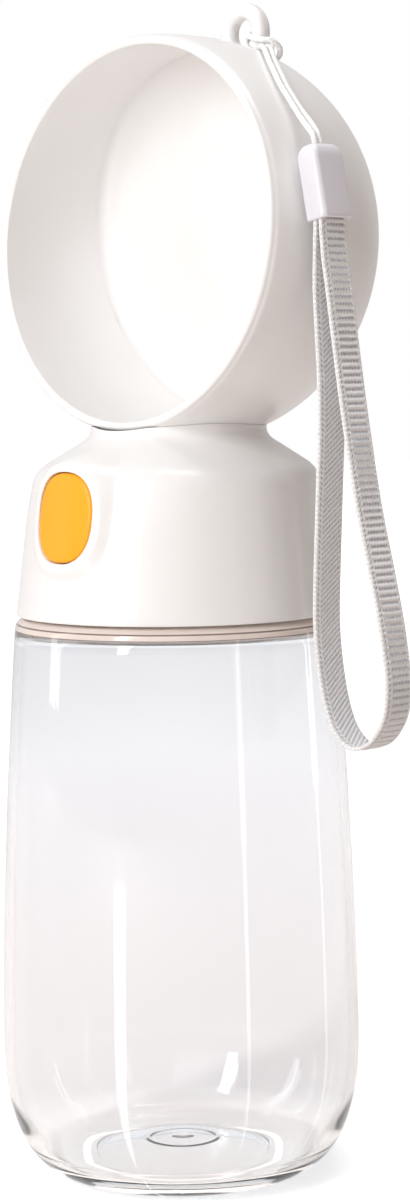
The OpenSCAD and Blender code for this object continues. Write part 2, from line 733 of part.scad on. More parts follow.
// ---------------------------------------------------------------- lanyard
// The cord leaves the ferrule, runs over the bowl to the eyelet, is hitched
// round the eyelet's limb and comes back beside itself.
cord_play = 0.15;                               // play of the cord in the ferrule's roof
webbing_play = 0.15;                            // play of the webbing in the ferrule
ferrule_w = webbing_w + 2 * (webbing_play + ferrule_side_wall);
ferrule_top = [40.8, -0.8, 203.5];
ferrule_foot = [43.8, -0.8, 188.5];
cord_route = [
    [41.1, -1.5, 201.6], [40.4, -1.5, 204.3], [39.1, -1.2, 205.6], [36.4, -0.5, 207.9], [33.7, 0, 210.7],
    [30.2, 0.6, 214.5], [27, 2.1, 217.5], [23.7, 4.1, 220.1], [20.7, 6.5, 221.9], [17.6, 9.1, 223.2],
    [13.6, 12.5, 224.2], [10.5, 15.6, 224.5], [8.2, 18.3, 224.3], [6.9, 21.1, 223.6], [5.5, 23.4, 224.4],
    [4.1, 24.3, 225.2], [2.5, 24.3, 226.3], [1.4, 23, 226.9], [1.4, 20.9, 226.8], [2.4, 19.7, 225.8],
    [3.7, 19.7, 224.6], [4.8, 20.2, 223.6], [5.8, 21.3, 222.8], [6.8, 22.8, 222.4], [7.7, 23.9, 223.7],
    [8.1, 23.4, 225.3], [7.8, 21.6, 226.5], [6.7, 20.3, 226.7], [5.1, 19.7, 226.9], [3.5, 19.7, 227.5],
    [2.2, 20.9, 228.1], [2.1, 22.9, 228.1], [3.1, 24.3, 227.3], [4.7, 24.3, 226.3], [6, 23.5, 225.4],
    [7.7, 21.3, 224.8], [9.2, 18.9, 224.8], [11.5, 16.4, 224.6], [14.4, 13.6, 224], [18.4, 10.2, 223],
    [21.3, 7.7, 221.5], [24.3, 5.3, 219.7], [27.6, 3.3, 217.1], [30.8, 1.8, 214.1], [34.3, 1.2, 210.3],
    [36.8, 0.9, 207.9], [39.3, 0.2, 205.8], [40.4, -0.1, 204.3], [41.1, -0.1, 201.6]];
hitch_first = 12;                               // points of the route that lie round the eyelet
hitch_last = 36;

webbing_route = [
    [44.3, 190.0], [44.5, 186.5], [45.0, 181], [46.2, 173.6], [49.1, 155], [52.6, 136.4],
    [55.7, 124], [58.0, 114.5], [59.5, 106], [59.8, 101], [58.8, 95.8], [55.4, 91.4],
    [50.8, 90], [46.8, 92.6], [44.4, 97.5], [42.8, 104.5], [42.0, 112], [42.1, 120],
    [42.8, 134], [43.5, 148], [43.6, 158], [43.1, 168], [42.7, 176], [42.9, 184], [43.2, 190.0]];

function unit(v) = v / norm(v);
function at(list, i) = list[max(0, min(len(list) - 1, i))];
// A point of a smooth curve through the route's points
function smooth(list, i, t) =
    let (a = at(list, i - 1), b = list[i], c = at(list, i + 1), d = at(list, i + 2))
    0.5 * (2 * b + (c - a) * t + (2 * a - 5 * b + 4 * c - d) * t * t
           + (3 * b - a - 3 * c + d) * t * t * t);
// The curve itself: one point a stretch, and two from the point 'first' to the point 'last'
function curve(list, first, last) = concat(
    [for (i = [0 : len(list) - 2])
        let (steps = i >= first && i < last ? 2 : 1)
        for (s = [0 : steps - 1]) smooth(list, i, s / steps)],
    [list[len(list) - 1]]);
function tangent(list, i) = unit(at(list, i + 1) - at(list, i - 1));
// A side direction carried along the curve without twist
function carry(list, i, side) =
    i >= len(list) ? []
    : let (t = tangent(list, i), s = unit(side - t * (side * t)))
      concat([s], carry(list, i + 1, s));

module lanyard_cord() {
    line = curve(cord_route, hitch_first, hitch_last);
    side = carry(line, 0, [0, 1, 0]);
    rings = [for (i = [0 : len(line) - 1])
        let (t = tangent(line, i), u = side[i], w = cross(t, u))
        [for (k = [0 : 7]) line[i] + cord_d / 2 * (cos(45 * k) * u + sin(45 * k) * w)]];
    color("white") tube_mesh(rings, true);
}

// The ferrule's own frame: its Z runs from its foot to its top
module in_ferrule() {
    lean = ferrule_top - ferrule_foot;
    translate(ferrule_foot) rotate([0, atan2(lean[0], lean[2]), 0]) children();
}

module ferrule_section(side, face, corner) {
    w = ferrule_w / 2 - side;
    t = ferrule_t / 2 - face;
    union() {
        for (y = [-1, 1], x = [-1, 1])
            translate([x * (t - corner), y * (w - corner)]) circle(corner);
        translate([-t, -(w - corner)]) square([2 * t, 2 * (w - corner)]);
        translate([-(t - corner), -w]) square([2 * (t - corner), 2 * w]);
    }
}

module lanyard_ferrule() {
    color(white) in_ferrule() difference() {
        linear_extrude(ferrule_len) ferrule_section(0, 0, ferrule_corner);
        translate([0, 0, -1]) linear_extrude(ferrule_len - ferrule_roof + 1)
            ferrule_section(ferrule_side_wall, ferrule_wall, ferrule_corner / 2);
        translate([0, 0, ferrule_len - ferrule_roof - 1]) linear_extrude(ferrule_roof + 2) union() {
            for (side = [-1, 1]) translate([0, side * cord_d * 0.6]) circle(cord_d / 2 + cord_play);
            translate([-cord_d / 2 - cord_play, -cord_d * 0.6])
                square([cord_d + 2 * cord_play, cord_d * 1.2]);
        }
    }
}

module ferrule_plug() {
    color("gray") in_ferrule() translate([0, 0, ferrule_plug_low])
        linear_extrude(ferrule_len - ferrule_roof - ferrule_plug_gap - ferrule_plug_low)
        ferrule_section(ferrule_side_wall + press, ferrule_wall + press, ferrule_corner / 2);
}

module lanyard_webbing() {
    line = curve(webbing_route, 0, len(webbing_route));
    edge = [for (i = [0 : len(line) - 1]) let (t = tangent(line, i)) [-t[1], t[0]] * webbing_t / 2];
    n = len(line);
    outline = concat([for (i = [0 : n - 1]) line[i] + edge[i]],
                     [for (i = [n - 1 : -1 : 0]) line[i] - edge[i]]);
    color([0.80, 0.80, 0.82])
        translate([0, ferrule_top[1] + webbing_w / 2, 0]) rotate([90, 0, 0])
        linear_extrude(webbing_w) polygon(outline);
}

bottle();
neck_gasket();
head_shell();
inner_cap();
bowl_shell();
bowl_floor();
valve_body();
valve_gasket();
valve_screws();
gland_cap();
rod_seal();
valve_plug();
plug_seal();
outlet_tube();
spout_seal();
vent_valve();
button();
push_rod();
valve_disc();
disc_seal();
rod_clip();
valve_spring();
lanyard_cord();
lanyard_ferrule();
ferrule_plug();
lanyard_webbing();
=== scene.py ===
"""Dog travel water bottle: the looks of the clear bottle, its white head with
the drinking bowl, the button and the wrist lanyard.

Lengths in this file are millimetres, in the frame of the CAD model: +Z is up,
the bowl opens towards -Y and the lanyard hangs on the +X side. Meshes are
turned into metres when they are made.
"""
import logging
import math
from dataclasses import dataclass
from enum import Enum, IntEnum
from typing import Sequence

import bmesh
import bpy
import numpy as np
from mathutils import Matrix, Vector


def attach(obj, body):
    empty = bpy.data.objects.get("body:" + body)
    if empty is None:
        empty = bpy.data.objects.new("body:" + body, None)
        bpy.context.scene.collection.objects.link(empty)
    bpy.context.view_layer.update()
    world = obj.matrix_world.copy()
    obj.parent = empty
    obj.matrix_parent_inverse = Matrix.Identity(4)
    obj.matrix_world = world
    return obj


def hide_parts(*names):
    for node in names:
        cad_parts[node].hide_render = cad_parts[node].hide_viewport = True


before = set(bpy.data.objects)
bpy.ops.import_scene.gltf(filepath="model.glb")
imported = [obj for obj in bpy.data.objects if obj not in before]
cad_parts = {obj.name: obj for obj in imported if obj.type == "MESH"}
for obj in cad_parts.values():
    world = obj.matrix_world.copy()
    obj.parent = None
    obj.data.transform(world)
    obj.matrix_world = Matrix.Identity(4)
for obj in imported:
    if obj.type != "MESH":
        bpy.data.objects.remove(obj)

log = logging.getLogger("bottle")

Point = tuple[float, float, float]
Numbers = float | np.ndarray
Socket = bpy.types.NodeSocket
Feed = float | tuple | bpy.types.NodeSocket

MM = 0.001
FULL = 2 * math.pi
# Points nearer than WELD become one, and edges shorter than SLIVER go
WELD, SLIVER = 0.002, 0.0001
# The clear plastic's index; a finish's size of patches, strength of bump and range of roughness
CLEAR_IOR = 1.49
PATCH_MM, BUMP_STRENGTH, ROUGH_RANGE = 9, 0.6, 0.06
# What more than one piece or the stage needs to know
BELLY_R = 36.0
VIEW_AZIMUTH = 45.95

# The cord from the ferrule over the bowl, round the eyelet and back again
CORD_ROUTE = [
    [41.1, -1.5, 201.6], [40.4, -1.5, 204.3], [39.1, -1.2, 205.6], [36.4, -0.5, 207.9], [33.7, 0, 210.7],
    [30.2, 0.6, 214.5], [27, 2.1, 217.5], [23.7, 4.1, 220.1], [20.7, 6.5, 221.9], [17.6, 9.1, 223.2],
    [13.6, 12.5, 224.2], [10.5, 15.6, 224.5], [8.2, 18.3, 224.3], [6.9, 21.1, 223.6], [5.5, 23.4, 224.4],
    [4.1, 24.3, 225.2], [2.5, 24.3, 226.3], [1.4, 23, 226.9], [1.4, 20.9, 226.8], [2.4, 19.7, 225.8],
    [3.7, 19.7, 224.6], [4.8, 20.2, 223.6], [5.8, 21.3, 222.8], [6.8, 22.8, 222.4], [7.7, 23.9, 223.7],
    [8.1, 23.4, 225.3], [7.8, 21.6, 226.5], [6.7, 20.3, 226.7], [5.1, 19.7, 226.9], [3.5, 19.7, 227.5],
    [2.2, 20.9, 228.1], [2.1, 22.9, 228.1], [3.1, 24.3, 227.3], [4.7, 24.3, 226.3], [6, 23.5, 225.4],
    [7.7, 21.3, 224.8], [9.2, 18.9, 224.8], [11.5, 16.4, 224.6], [14.4, 13.6, 224], [18.4, 10.2, 223],
    [21.3, 7.7, 221.5], [24.3, 5.3, 219.7], [27.6, 3.3, 217.1], [30.8, 1.8, 214.1], [34.3, 1.2, 210.3],
    [36.8, 0.9, 207.9], [39.3, 0.2, 205.8], [40.4, -0.1, 204.3], [41.1, -0.1, 201.6]]
# The webbing's loop as (x, z), from the ferrule round the hand's opening and back
WEBBING_ROUTE = [
    [44.3, 190.0], [44.5, 186.5], [45.0, 181], [46.2, 173.6], [49.1, 155], [52.6, 136.4],
    [55.7, 124], [58.0, 114.5], [59.5, 106], [59.8, 101], [58.8, 95.8], [55.4, 91.4],
    [50.8, 90], [46.8, 92.6], [44.4, 97.5], [42.8, 104.5], [42.0, 112], [42.1, 120],
    [42.8, 134], [43.5, 148], [43.6, 158], [43.1, 168], [42.7, 176], [42.9, 184], [43.2, 190.0]]


# ------------------------------------------------------------ colours and finishes
def linear(hex_colour: str, strength: float = 1.0) -> tuple[float, ...]:
    """Turn an sRGB hex colour into linear light.

    Args:
        hex_colour: the colour as "#RRGGBB".
        strength: what its light is multiplied by.

    Returns:
        Red, green and blue, and an opacity of 1.
    """
    values = [int(hex_colour[i:i + 2], 16) / 255 for i in (1, 3, 5)]
    light = [v / 12.92 if v <= 0.04045 else ((v + 0.055) / 1.055) ** 2.4 for v in values]
    return (*(v * strength for v in light), 1.0)


class Kind(Enum):
    """How a finish scatters light."""

    PLASTIC = "plastic"
    CLEAR = "clear"
    RUBBER = "rubber"
    METAL = "metal"


class Side(IntEnum):
    """The sides of the webbing, by material slot."""

    FACE = 0
    EDGE = 1
    BACK = 2


@dataclass(frozen=True)
class Finish:
    """A moulded, cast or drawn surface.

    Args:
        name: the material's name.
        colour: its sRGB colour.
        kind: how it scatters light.
        roughness: of its gloss.
        grain_mm: size of its fine unevenness.
        bump_mm: depth of that unevenness.
        mottle: how much its colour varies, from 0 to 1.
        shade: the sRGB colour of its darker patches.
        coat: weight of the clear gloss that plastic has.
    """

    name: str
    colour: str
    kind: Kind
    roughness: float
    grain_mm: float
    bump_mm: float
    mottle: float
    shade: str
    coat: float = 0.15


@dataclass(frozen=True)
class Weave:
    """A woven side of the webbing: ribs across it, threads along it.

    Args:
        name: the material's name.
        light: colour of the ribs' tops.
        dark: colour between the ribs.
        pitch: distance of the ribs in mm.
        slant: how far a rib leans along the webbing over its width, in ribs.
        stitched: whether a row of dark stitches runs along the front edge.
    """

    name: str
    light: str
    dark: str
    pitch: float
    slant: float = 0.0
    stitched: bool = False


WHITE = Finish("white_abs", "#F6F5F4", Kind.PLASTIC, 0.3, 0.5, 0.004, 0.3, "#F0EEED")
# The ferrule's white is the head's white painted greyer and cooler: painted shade, for its side that faces
# away from the key lamp.
FERRULE_PAINTED_SHADE = Finish("white_ferrule_painted_shade", "#E9E7EE", Kind.PLASTIC, 0.34, 0.5, 0.004, 0.3, "#E4E2E9")
WHITE_INNER = Finish("white_inner", "#F3E6DC", Kind.PLASTIC, 0.48, 0.35, 0.012, 0.4, "#EAD8CB")
YELLOW = Finish("yellow_abs", "#FFB007", Kind.PLASTIC, 0.42, 0.4, 0.006, 0.35, "#FBA805", 0.0)
SILICONE = Finish("silicone", "#F0CDB9", Kind.RUBBER, 0.5, 0.4, 0.02, 0.3, "#E6BCA5")
BLACK_RUBBER = Finish("black_rubber", "#232323", Kind.RUBBER, 0.55, 0.3, 0.02, 0.3, "#151515")
STEEL = Finish("steel", "#C3C3C6", Kind.METAL, 0.28, 0.2, 0.006, 0.4, "#A9A9AD")
CLEAR = Finish("clear_copolyester", "#F9FAFC", Kind.CLEAR, 0.02, 14.0, 0.03, 0.0, "#FFFFFF")

WEAVES = (
    Weave("webbing_face", "#FFFFFF", "#9698A8", 1.35),
    Weave("webbing_edge", "#FFFFFF", "#F0EFEE", 0.9, stitched=True),
    Weave("webbing_back", "#FDFDFF", "#A9A7AE", 1.0, -5.0),
)

# The CAD nodes that no new piece stands for, by their finish
HIDDEN = (
    (WHITE_INNER, ("inner_cap", "valve_body", "gland_cap", "valve_plug", "valve_disc", "ferrule_plug")),
    (SILICONE, ("neck_gasket", "valve_gasket", "outlet_tube", "spout_seal", "vent_valve")),
    (BLACK_RUBBER, ("rod_seal", "plug_seal", "disc_seal")),
    (STEEL, ("valve_screws", "push_rod", "rod_clip", "valve_spring")),
)


class Nodes:
    """A short way to write the node tree of a material or of the world."""

    def __init__(self, owner: bpy.types.Material | bpy.types.World) -> None:
        """Start an empty tree.

        Args:
            owner: the new material or world.
        """
        owner.use_nodes = True
        self.owner = owner
        self.tree = owner.node_tree
        self.tree.nodes.clear()

    def feed(self, socket: Socket, value: Feed) -> None:
        """Give an input its value, or join it to the output that it comes from.

        Args:
            socket: the input.
            value: a number, a colour or an output.
        """
        if isinstance(value, bpy.types.NodeSocket):
            self.tree.links.new(value, socket)
        else:
            socket.default_value = value

    def add(self, kind: str, settings: dict[str, str] | None = None, **inputs: Feed) -> bpy.types.Node:
        """Add one node.

        Args:
            kind: the node's type without the word ShaderNode.
            settings: attributes of the node.
            inputs: values or outputs for its inputs, by name.

        Returns:
            The new node.
        """
        node = self.tree.nodes.new("ShaderNode" + kind)
        for key, value in (settings or {}).items():
            setattr(node, key, value)
        for key, value in inputs.items():
            self.feed(node.inputs[key.replace("_", " ")], value)
        return node

    def math(self, operation: str, *values: Feed) -> Socket:
        """Add a Math node.

        Args:
            operation: what it does.
            values: what it works on: two values, or three for COMPARE.

        Returns:
            Its result.
        """
        node = self.add("Math", {"operation": operation})
        for socket, value in zip(node.inputs, values):
            self.feed(socket, value)
        return node.outputs[0]

    def times(self, a: Feed, b: Feed) -> Socket:
        """Multiply two values."""
        return self.math("MULTIPLY", a, b)

    def plus(self, a: Feed, b: Feed) -> Socket:
        """Add two values."""
        return self.math("ADD", a, b)

    def dot(self, a: Socket, b: Point) -> Socket:
        """Take the dot product of a vector and a fixed direction.

        Args:
            a: the vector.
            b: the direction.

        Returns:
            The product.
        """
        node = self.add("VectorMath", {"operation": "DOT_PRODUCT"})
        self.feed(node.inputs[0], a)
        self.feed(node.inputs[1], b)
        return node.outputs["Value"]

    def ramp(self, value: Socket, low: float, high: float, form: str = "LINEAR") -> Socket:
        """Go from 0 at one value to 1 at another, which may be the lower of the two.

        Args:
            value: what is looked up.
            low: where the result is 0.
            high: where it is 1.
            form: Map Range's name for the rise.

        Returns:
            The result.
        """
        settings = {"interpolation_type": form}
        return self.add("MapRange", settings, Value=value, From_Min=low, From_Max=high).outputs["Result"]

    def mix(self, factor: Feed, a: Feed, b: Feed) -> Socket:
        """Mix two colours.

        Args:
            factor: the second colour's share.
            a: the first colour.
            b: the second colour.

        Returns:
            The mixed colour.
        """
        node = self.add("Mix", {"data_type": "RGBA"})
        for index, value in ((0, factor), (6, a), (7, b)):
            self.feed(node.inputs[index], value)
        return node.outputs[2]

    def noise(self, place: Socket, size_mm: float, detail: float) -> Socket:
        """Add noise whose patches have a size in mm."""
        return self.add("TexNoise", Vector=place, Scale=1 / (size_mm * MM), Detail=detail).outputs["Fac"]

    def bump(self, height: Socket, depth_mm: float, strength: float) -> Socket:
        """Turn a height into a bump of a depth in mm."""
        return self.add("Bump", Height=height, Distance=depth_mm * MM, Strength=strength).outputs["Normal"]

    def uv(self) -> tuple[Socket, Socket]:
        """Give the two coordinates of a piece's own UV map: along it and across or round it."""
        axes = self.add("SeparateXYZ", Vector=self.add("UVMap", {"uv_map": "surface"}).outputs["UV"])
        return axes.outputs["X"], axes.outputs["Y"]

    def surface(self, shader: Socket) -> bpy.types.Material | bpy.types.World:
        """Use a shader as the surface.

        Args:
            shader: its output.

        Returns:
            The finished material or world.
        """
        self.add("OutputWorld" if isinstance(self.owner, bpy.types.World) else "OutputMaterial",
                 Surface=shader)
        return self.owner

    def principled(self, **inputs: Feed) -> bpy.types.Material:
        """Use a Principled shader as the surface and give the material."""
        return self.surface(self.add("BsdfPrincipled", **inputs).outputs["BSDF"])


def moulded(finish: Finish) -> bpy.types.Material:
    """Make the material of a finish: its colour with faint mottling, and a fine bump.

    Args:
        finish: what it looks like.

    Returns:
        The material.
    """
    n = Nodes(bpy.data.materials.new(finish.name))
    place = n.add("TexCoord").outputs["Object"]
    grain = n.noise(place, finish.grain_mm, 3.0)
    patches = n.noise(place, PATCH_MM, 2.0)
    rough = finish.roughness
    if finish.kind is not Kind.CLEAR:
        rough = n.plus(n.times(grain, ROUGH_RANGE), finish.roughness - ROUGH_RANGE / 2)
    gloss = {
        Kind.PLASTIC: {"Coat_Weight": finish.coat, "Coat_Roughness": 0.12},
        Kind.CLEAR: {"Transmission_Weight": 1.0, "IOR": CLEAR_IOR},
        Kind.RUBBER: {"Specular_IOR_Level": 0.35},
        Kind.METAL: {"Metallic": 1.0},
    }[finish.kind]
    return n.principled(
        Base_Color=n.mix(n.times(patches, finish.mottle), linear(finish.colour), linear(finish.shade)),
        Roughness=rough, Normal=n.bump(grain, finish.bump_mm, BUMP_STRENGTH), **gloss)


# ------------------------------------------------------------ mesh helpers
class Mesh:
    """Collects grids of points and welds them into one piece."""

    def __init__(self) -> None:
        """Start with nothing."""
        self.points: list[np.ndarray] = []
        self.uvs: list[np.ndarray] = []
        self.faces: list[list[int]] = []
        self.slots: list[int] = []
        self.count = 0

    def take(self, points: np.ndarray, uv: np.ndarray | None, faces: np.ndarray, slot: int) -> None:
        """Keep some points and the faces between them.

        Args:
            points: the points, one a row.
            uv: their places on the pattern, or nothing.
            faces: the points' numbers, one face a row, counted from the first of these points.
            slot: the material slot of the faces.
        """
        self.points.append(points)
        self.uvs.append(np.zeros((len(points), 2)) if uv is None else uv)
        self.faces += (faces + self.count).tolist()
        self.slots += [int(slot)] * len(faces)
        self.count += len(points)

    def grid(self, points: np.ndarray, wrap: bool = True, uv: np.ndarray | None = None,
             slot: int = 0) -> None:
        """Add a grid of points as quads, each between two rows and two columns.

        Args:
            points: rows by columns by three.
            wrap: whether the last column joins the first.
            uv: rows by columns by two, or nothing.
            slot: the material slot of its faces.
        """
        rows, columns = points.shape[:2]
        index = np.arange(rows * columns).reshape(rows, columns)
        if wrap:
            index = np.hstack([index, index[:, :1]])
        quads = np.stack([index[:-1, :-1], index[:-1, 1:], index[1:, 1:], index[1:, :-1]], axis=2)
        self.take(points.reshape(-1, 3), None if uv is None else uv.reshape(-1, 2),
                  quads.reshape(-1, 4), slot)

    def fan(self, ring: np.ndarray, centre: Sequence[float]) -> None:
        """Close a ring with triangles to a point.

        Args:
            ring: the ring's points.
            centre: the point.
        """
        index = np.arange(len(ring))
        corners = np.stack([index, np.roll(index, -1), np.full(len(ring), len(ring))], axis=1)
        self.take(np.vstack([ring, centre]), None, corners, 0)

    def caps(self, rings: np.ndarray) -> None:
        """Close the first and the last ring of a grid to their middles."""
        for ring in (rings[0], rings[-1]):
            self.fan(ring, ring.mean(axis=0))

    def build(self, name: str, materials: Sequence[bpy.types.Material], sharp: float = 40.0,
              keep_uv: bool = False) -> bpy.types.Object:
        """Make the object.

        Args:
            name: the piece's name.
            materials: for its slots.
            sharp: the angle in degrees past which an edge stays sharp.
            keep_uv: whether the piece has a UV map.

        Returns:
            The object, at the origin, in metres.
        """
        mesh = bpy.data.meshes.new(name)
        mesh.from_pydata((np.vstack(self.points) * MM).tolist(), [], self.faces)
        mesh.polygons.foreach_set("material_index", np.array(self.slots, dtype=np.int32))
        if keep_uv:
            layer = mesh.uv_layers.new(name="surface")
            index = np.zeros(len(mesh.loops), dtype=np.int32)
            mesh.loops.foreach_get("vertex_index", index)
            layer.data.foreach_set("uv", np.vstack(self.uvs)[index].astype(np.float32).ravel())
        shape = bmesh.new()
        shape.from_mesh(mesh)
        bmesh.ops.remove_doubles(shape, verts=shape.verts, dist=WELD * MM)
        bmesh.ops.dissolve_degenerate(shape, edges=shape.edges, dist=SLIVER * MM)
        bmesh.ops.recalc_face_normals(shape, faces=shape.faces)
        shape.to_mesh(mesh)
        shape.free()
        mesh.polygons.foreach_set("use_smooth", np.ones(len(mesh.polygons), dtype=bool))
        mesh.set_sharp_from_angle(angle=math.radians(sharp))
        return placed(name, mesh, materials)


def placed(name: str, mesh: bpy.types.Mesh, materials: Sequence[bpy.types.Material]) -> bpy.types.Object:
    """Put a mesh into the scene as an object.

    Args:
        name: the object's name.
        mesh: its mesh.
        materials: for its slots.

    Returns:
        The object.
    """
    piece = bpy.data.objects.new(name, mesh)
    bpy.context.scene.collection.objects.link(piece)
    for material in materials:
        mesh.materials.append(material)
    return piece


def join(pieces: Sequence[bpy.types.Object], name: str) -> bpy.types.Object:
    """Put several pieces into one that takes their place.

    Args:
        pieces: what is joined; the first gives the materials.
        name: the new piece's name.

    Returns:
        The new piece.
    """
    mesh = bpy.data.meshes.new(name + "_mesh")
    shape = bmesh.new()
    for piece in pieces:
        shape.from_mesh(piece.data)
    shape.to_mesh(mesh)
    shape.free()
    mesh.set_sharp_from_angle(angle=math.radians(40))
    materials = list(pieces[0].data.materials)
    for piece in pieces:
        bpy.data.objects.remove(piece)
    return placed(name, mesh, materials)


def soften(piece: bpy.types.Object, voxel: float, rounds: int) -> None:
    """Melt a piece's overlapping shells into one soft skin.

    Args:
        piece: what is changed.
        voxel: size of the new faces, in mm.
        rounds: how often it is smoothed.
    """
    remesh = piece.modifiers.new("remesh", "REMESH")
    remesh.mode = "VOXEL"
    remesh.voxel_size = voxel * MM
    smooth = piece.modifiers.new("smooth", "SMOOTH")
    smooth.factor = 0.5
    smooth.iterations = rounds
    bpy.context.view_layer.update()
    graph = bpy.context.evaluated_depsgraph_get()
    new = bpy.data.meshes.new_from_object(piece.evaluated_get(graph))
    piece.modifiers.clear()
    piece.data = new
    new.polygons.foreach_set("use_smooth", np.ones(len(new.polygons), dtype=bool))


def turns(columns: int) -> np.ndarray:
    """Angles of a number of even steps round a circle."""
    return np.arange(columns) * FULL / columns


def lathe(profile: np.ndarray, columns: int) -> np.ndarray:
    """Turn a profile round the Z axis, with the first column at -Y.

    Args:
        profile: points as (radius, height).
        columns: how many steps round.

    Returns:
        A grid of points, profile by columns.
    """
    turn = turns(columns) - math.pi / 2
    r, z = profile[:, :1], profile[:, 1:]
    return np.stack([r * np.cos(turn), r * np.sin(turn), np.repeat(z, columns, axis=1)], axis=2)


def arc(centre: Sequence[float], radius: float, start: float, end: float, steps: int) -> np.ndarray:
    """Points of an arc: its centre plus the radius times cosine and sine.

    Args:
        centre: its centre.
        radius: its radius.
        start: its first angle, in degrees.
        end: its last angle.
        steps: how many pieces it is cut into.

    Returns:
        The points in two dimensions.
    """
    angle = np.radians(np.linspace(start, end, steps + 1))
    return np.stack([centre[0] + radius * np.cos(angle), centre[1] + radius * np.sin(angle)], axis=1)


def oval(half_w: float, half_h: float, angles: np.ndarray, power: float = 2.45) -> np.ndarray:
    """Points of an oval with rather straight sides, at angles round its centre.

    The reach along an angle is the power mean of the two halves, as in a superellipse.

    Args:
        half_w: half its width.
        half_h: half its height.
        angles: where its points are seen from its centre.
        power: 2 is an ellipse, more is squarer.

    Returns:
        The points as (x, z).
    """
    c, s = np.cos(angles), np.sin(angles)
    reach = (np.abs(c / half_w) ** power + np.abs(s / half_h) ** power) ** (-1 / power)
    return np.stack([reach * c, reach * s], axis=1)


def smooth_route(points: np.ndarray, steps: int) -> np.ndarray:
    """A smooth curve through points: between two of them a cubic, whose slope at a point
    is half the way from the point before it to the one after it.

    Args:
        points: the points, in any dimension.
        steps: how many pieces each stretch is cut into.

    Returns:
        The curve's points.
    """
    p = np.vstack([points[:1], points, points[-1:]]).astype(float)
    a, b, c, d = (p[k:len(p) - 3 + k, None] for k in range(4))
    t = (np.arange(steps) / steps)[:, None]
    curve = 0.5 * (2 * b + (c - a) * t + (2 * a - 5 * b + 4 * c - d) * t ** 2
                   + (3 * b - a - 3 * c + d) * t ** 3)
    return np.vstack([curve.reshape(-1, p.shape[1]), p[-1:]])


def run(curve: np.ndarray) -> np.ndarray:
    """Length along a curve up to each of its points."""
    return np.r_[0, np.cumsum(np.linalg.norm(np.diff(curve, axis=0), axis=1))]


def resample(curve: np.ndarray, count: int) -> np.ndarray:
    """The same curve with evenly spaced points.

    Args:
        curve: its points.
        count: how many points it gets.

    Returns:
        The new points.
    """
    length = run(curve)
    at = np.linspace(0, length[-1], count)
    return np.stack([np.interp(at, length, column) for column in curve.T], axis=1)


def directions(line: np.ndarray) -> np.ndarray:
    """Unit vectors along a curve at each of its points."""
    tangent = np.gradient(line, axis=0)
    return tangent / np.linalg.norm(tangent, axis=1)[:, None]


def ease(x: Numbers, low: float, high: float) -> Numbers:
    """Rise smoothly from 0 to 1 between two values: 3 t squared less 2 t cubed.

    Args:
        x: what is looked up.
        low: where the result leaves 0.
        high: where it reaches 1.

    Returns:
        The result.
    """
    t = np.clip((x - low) / (high - low), 0, 1)
    return t * t * (3 - 2 * t)


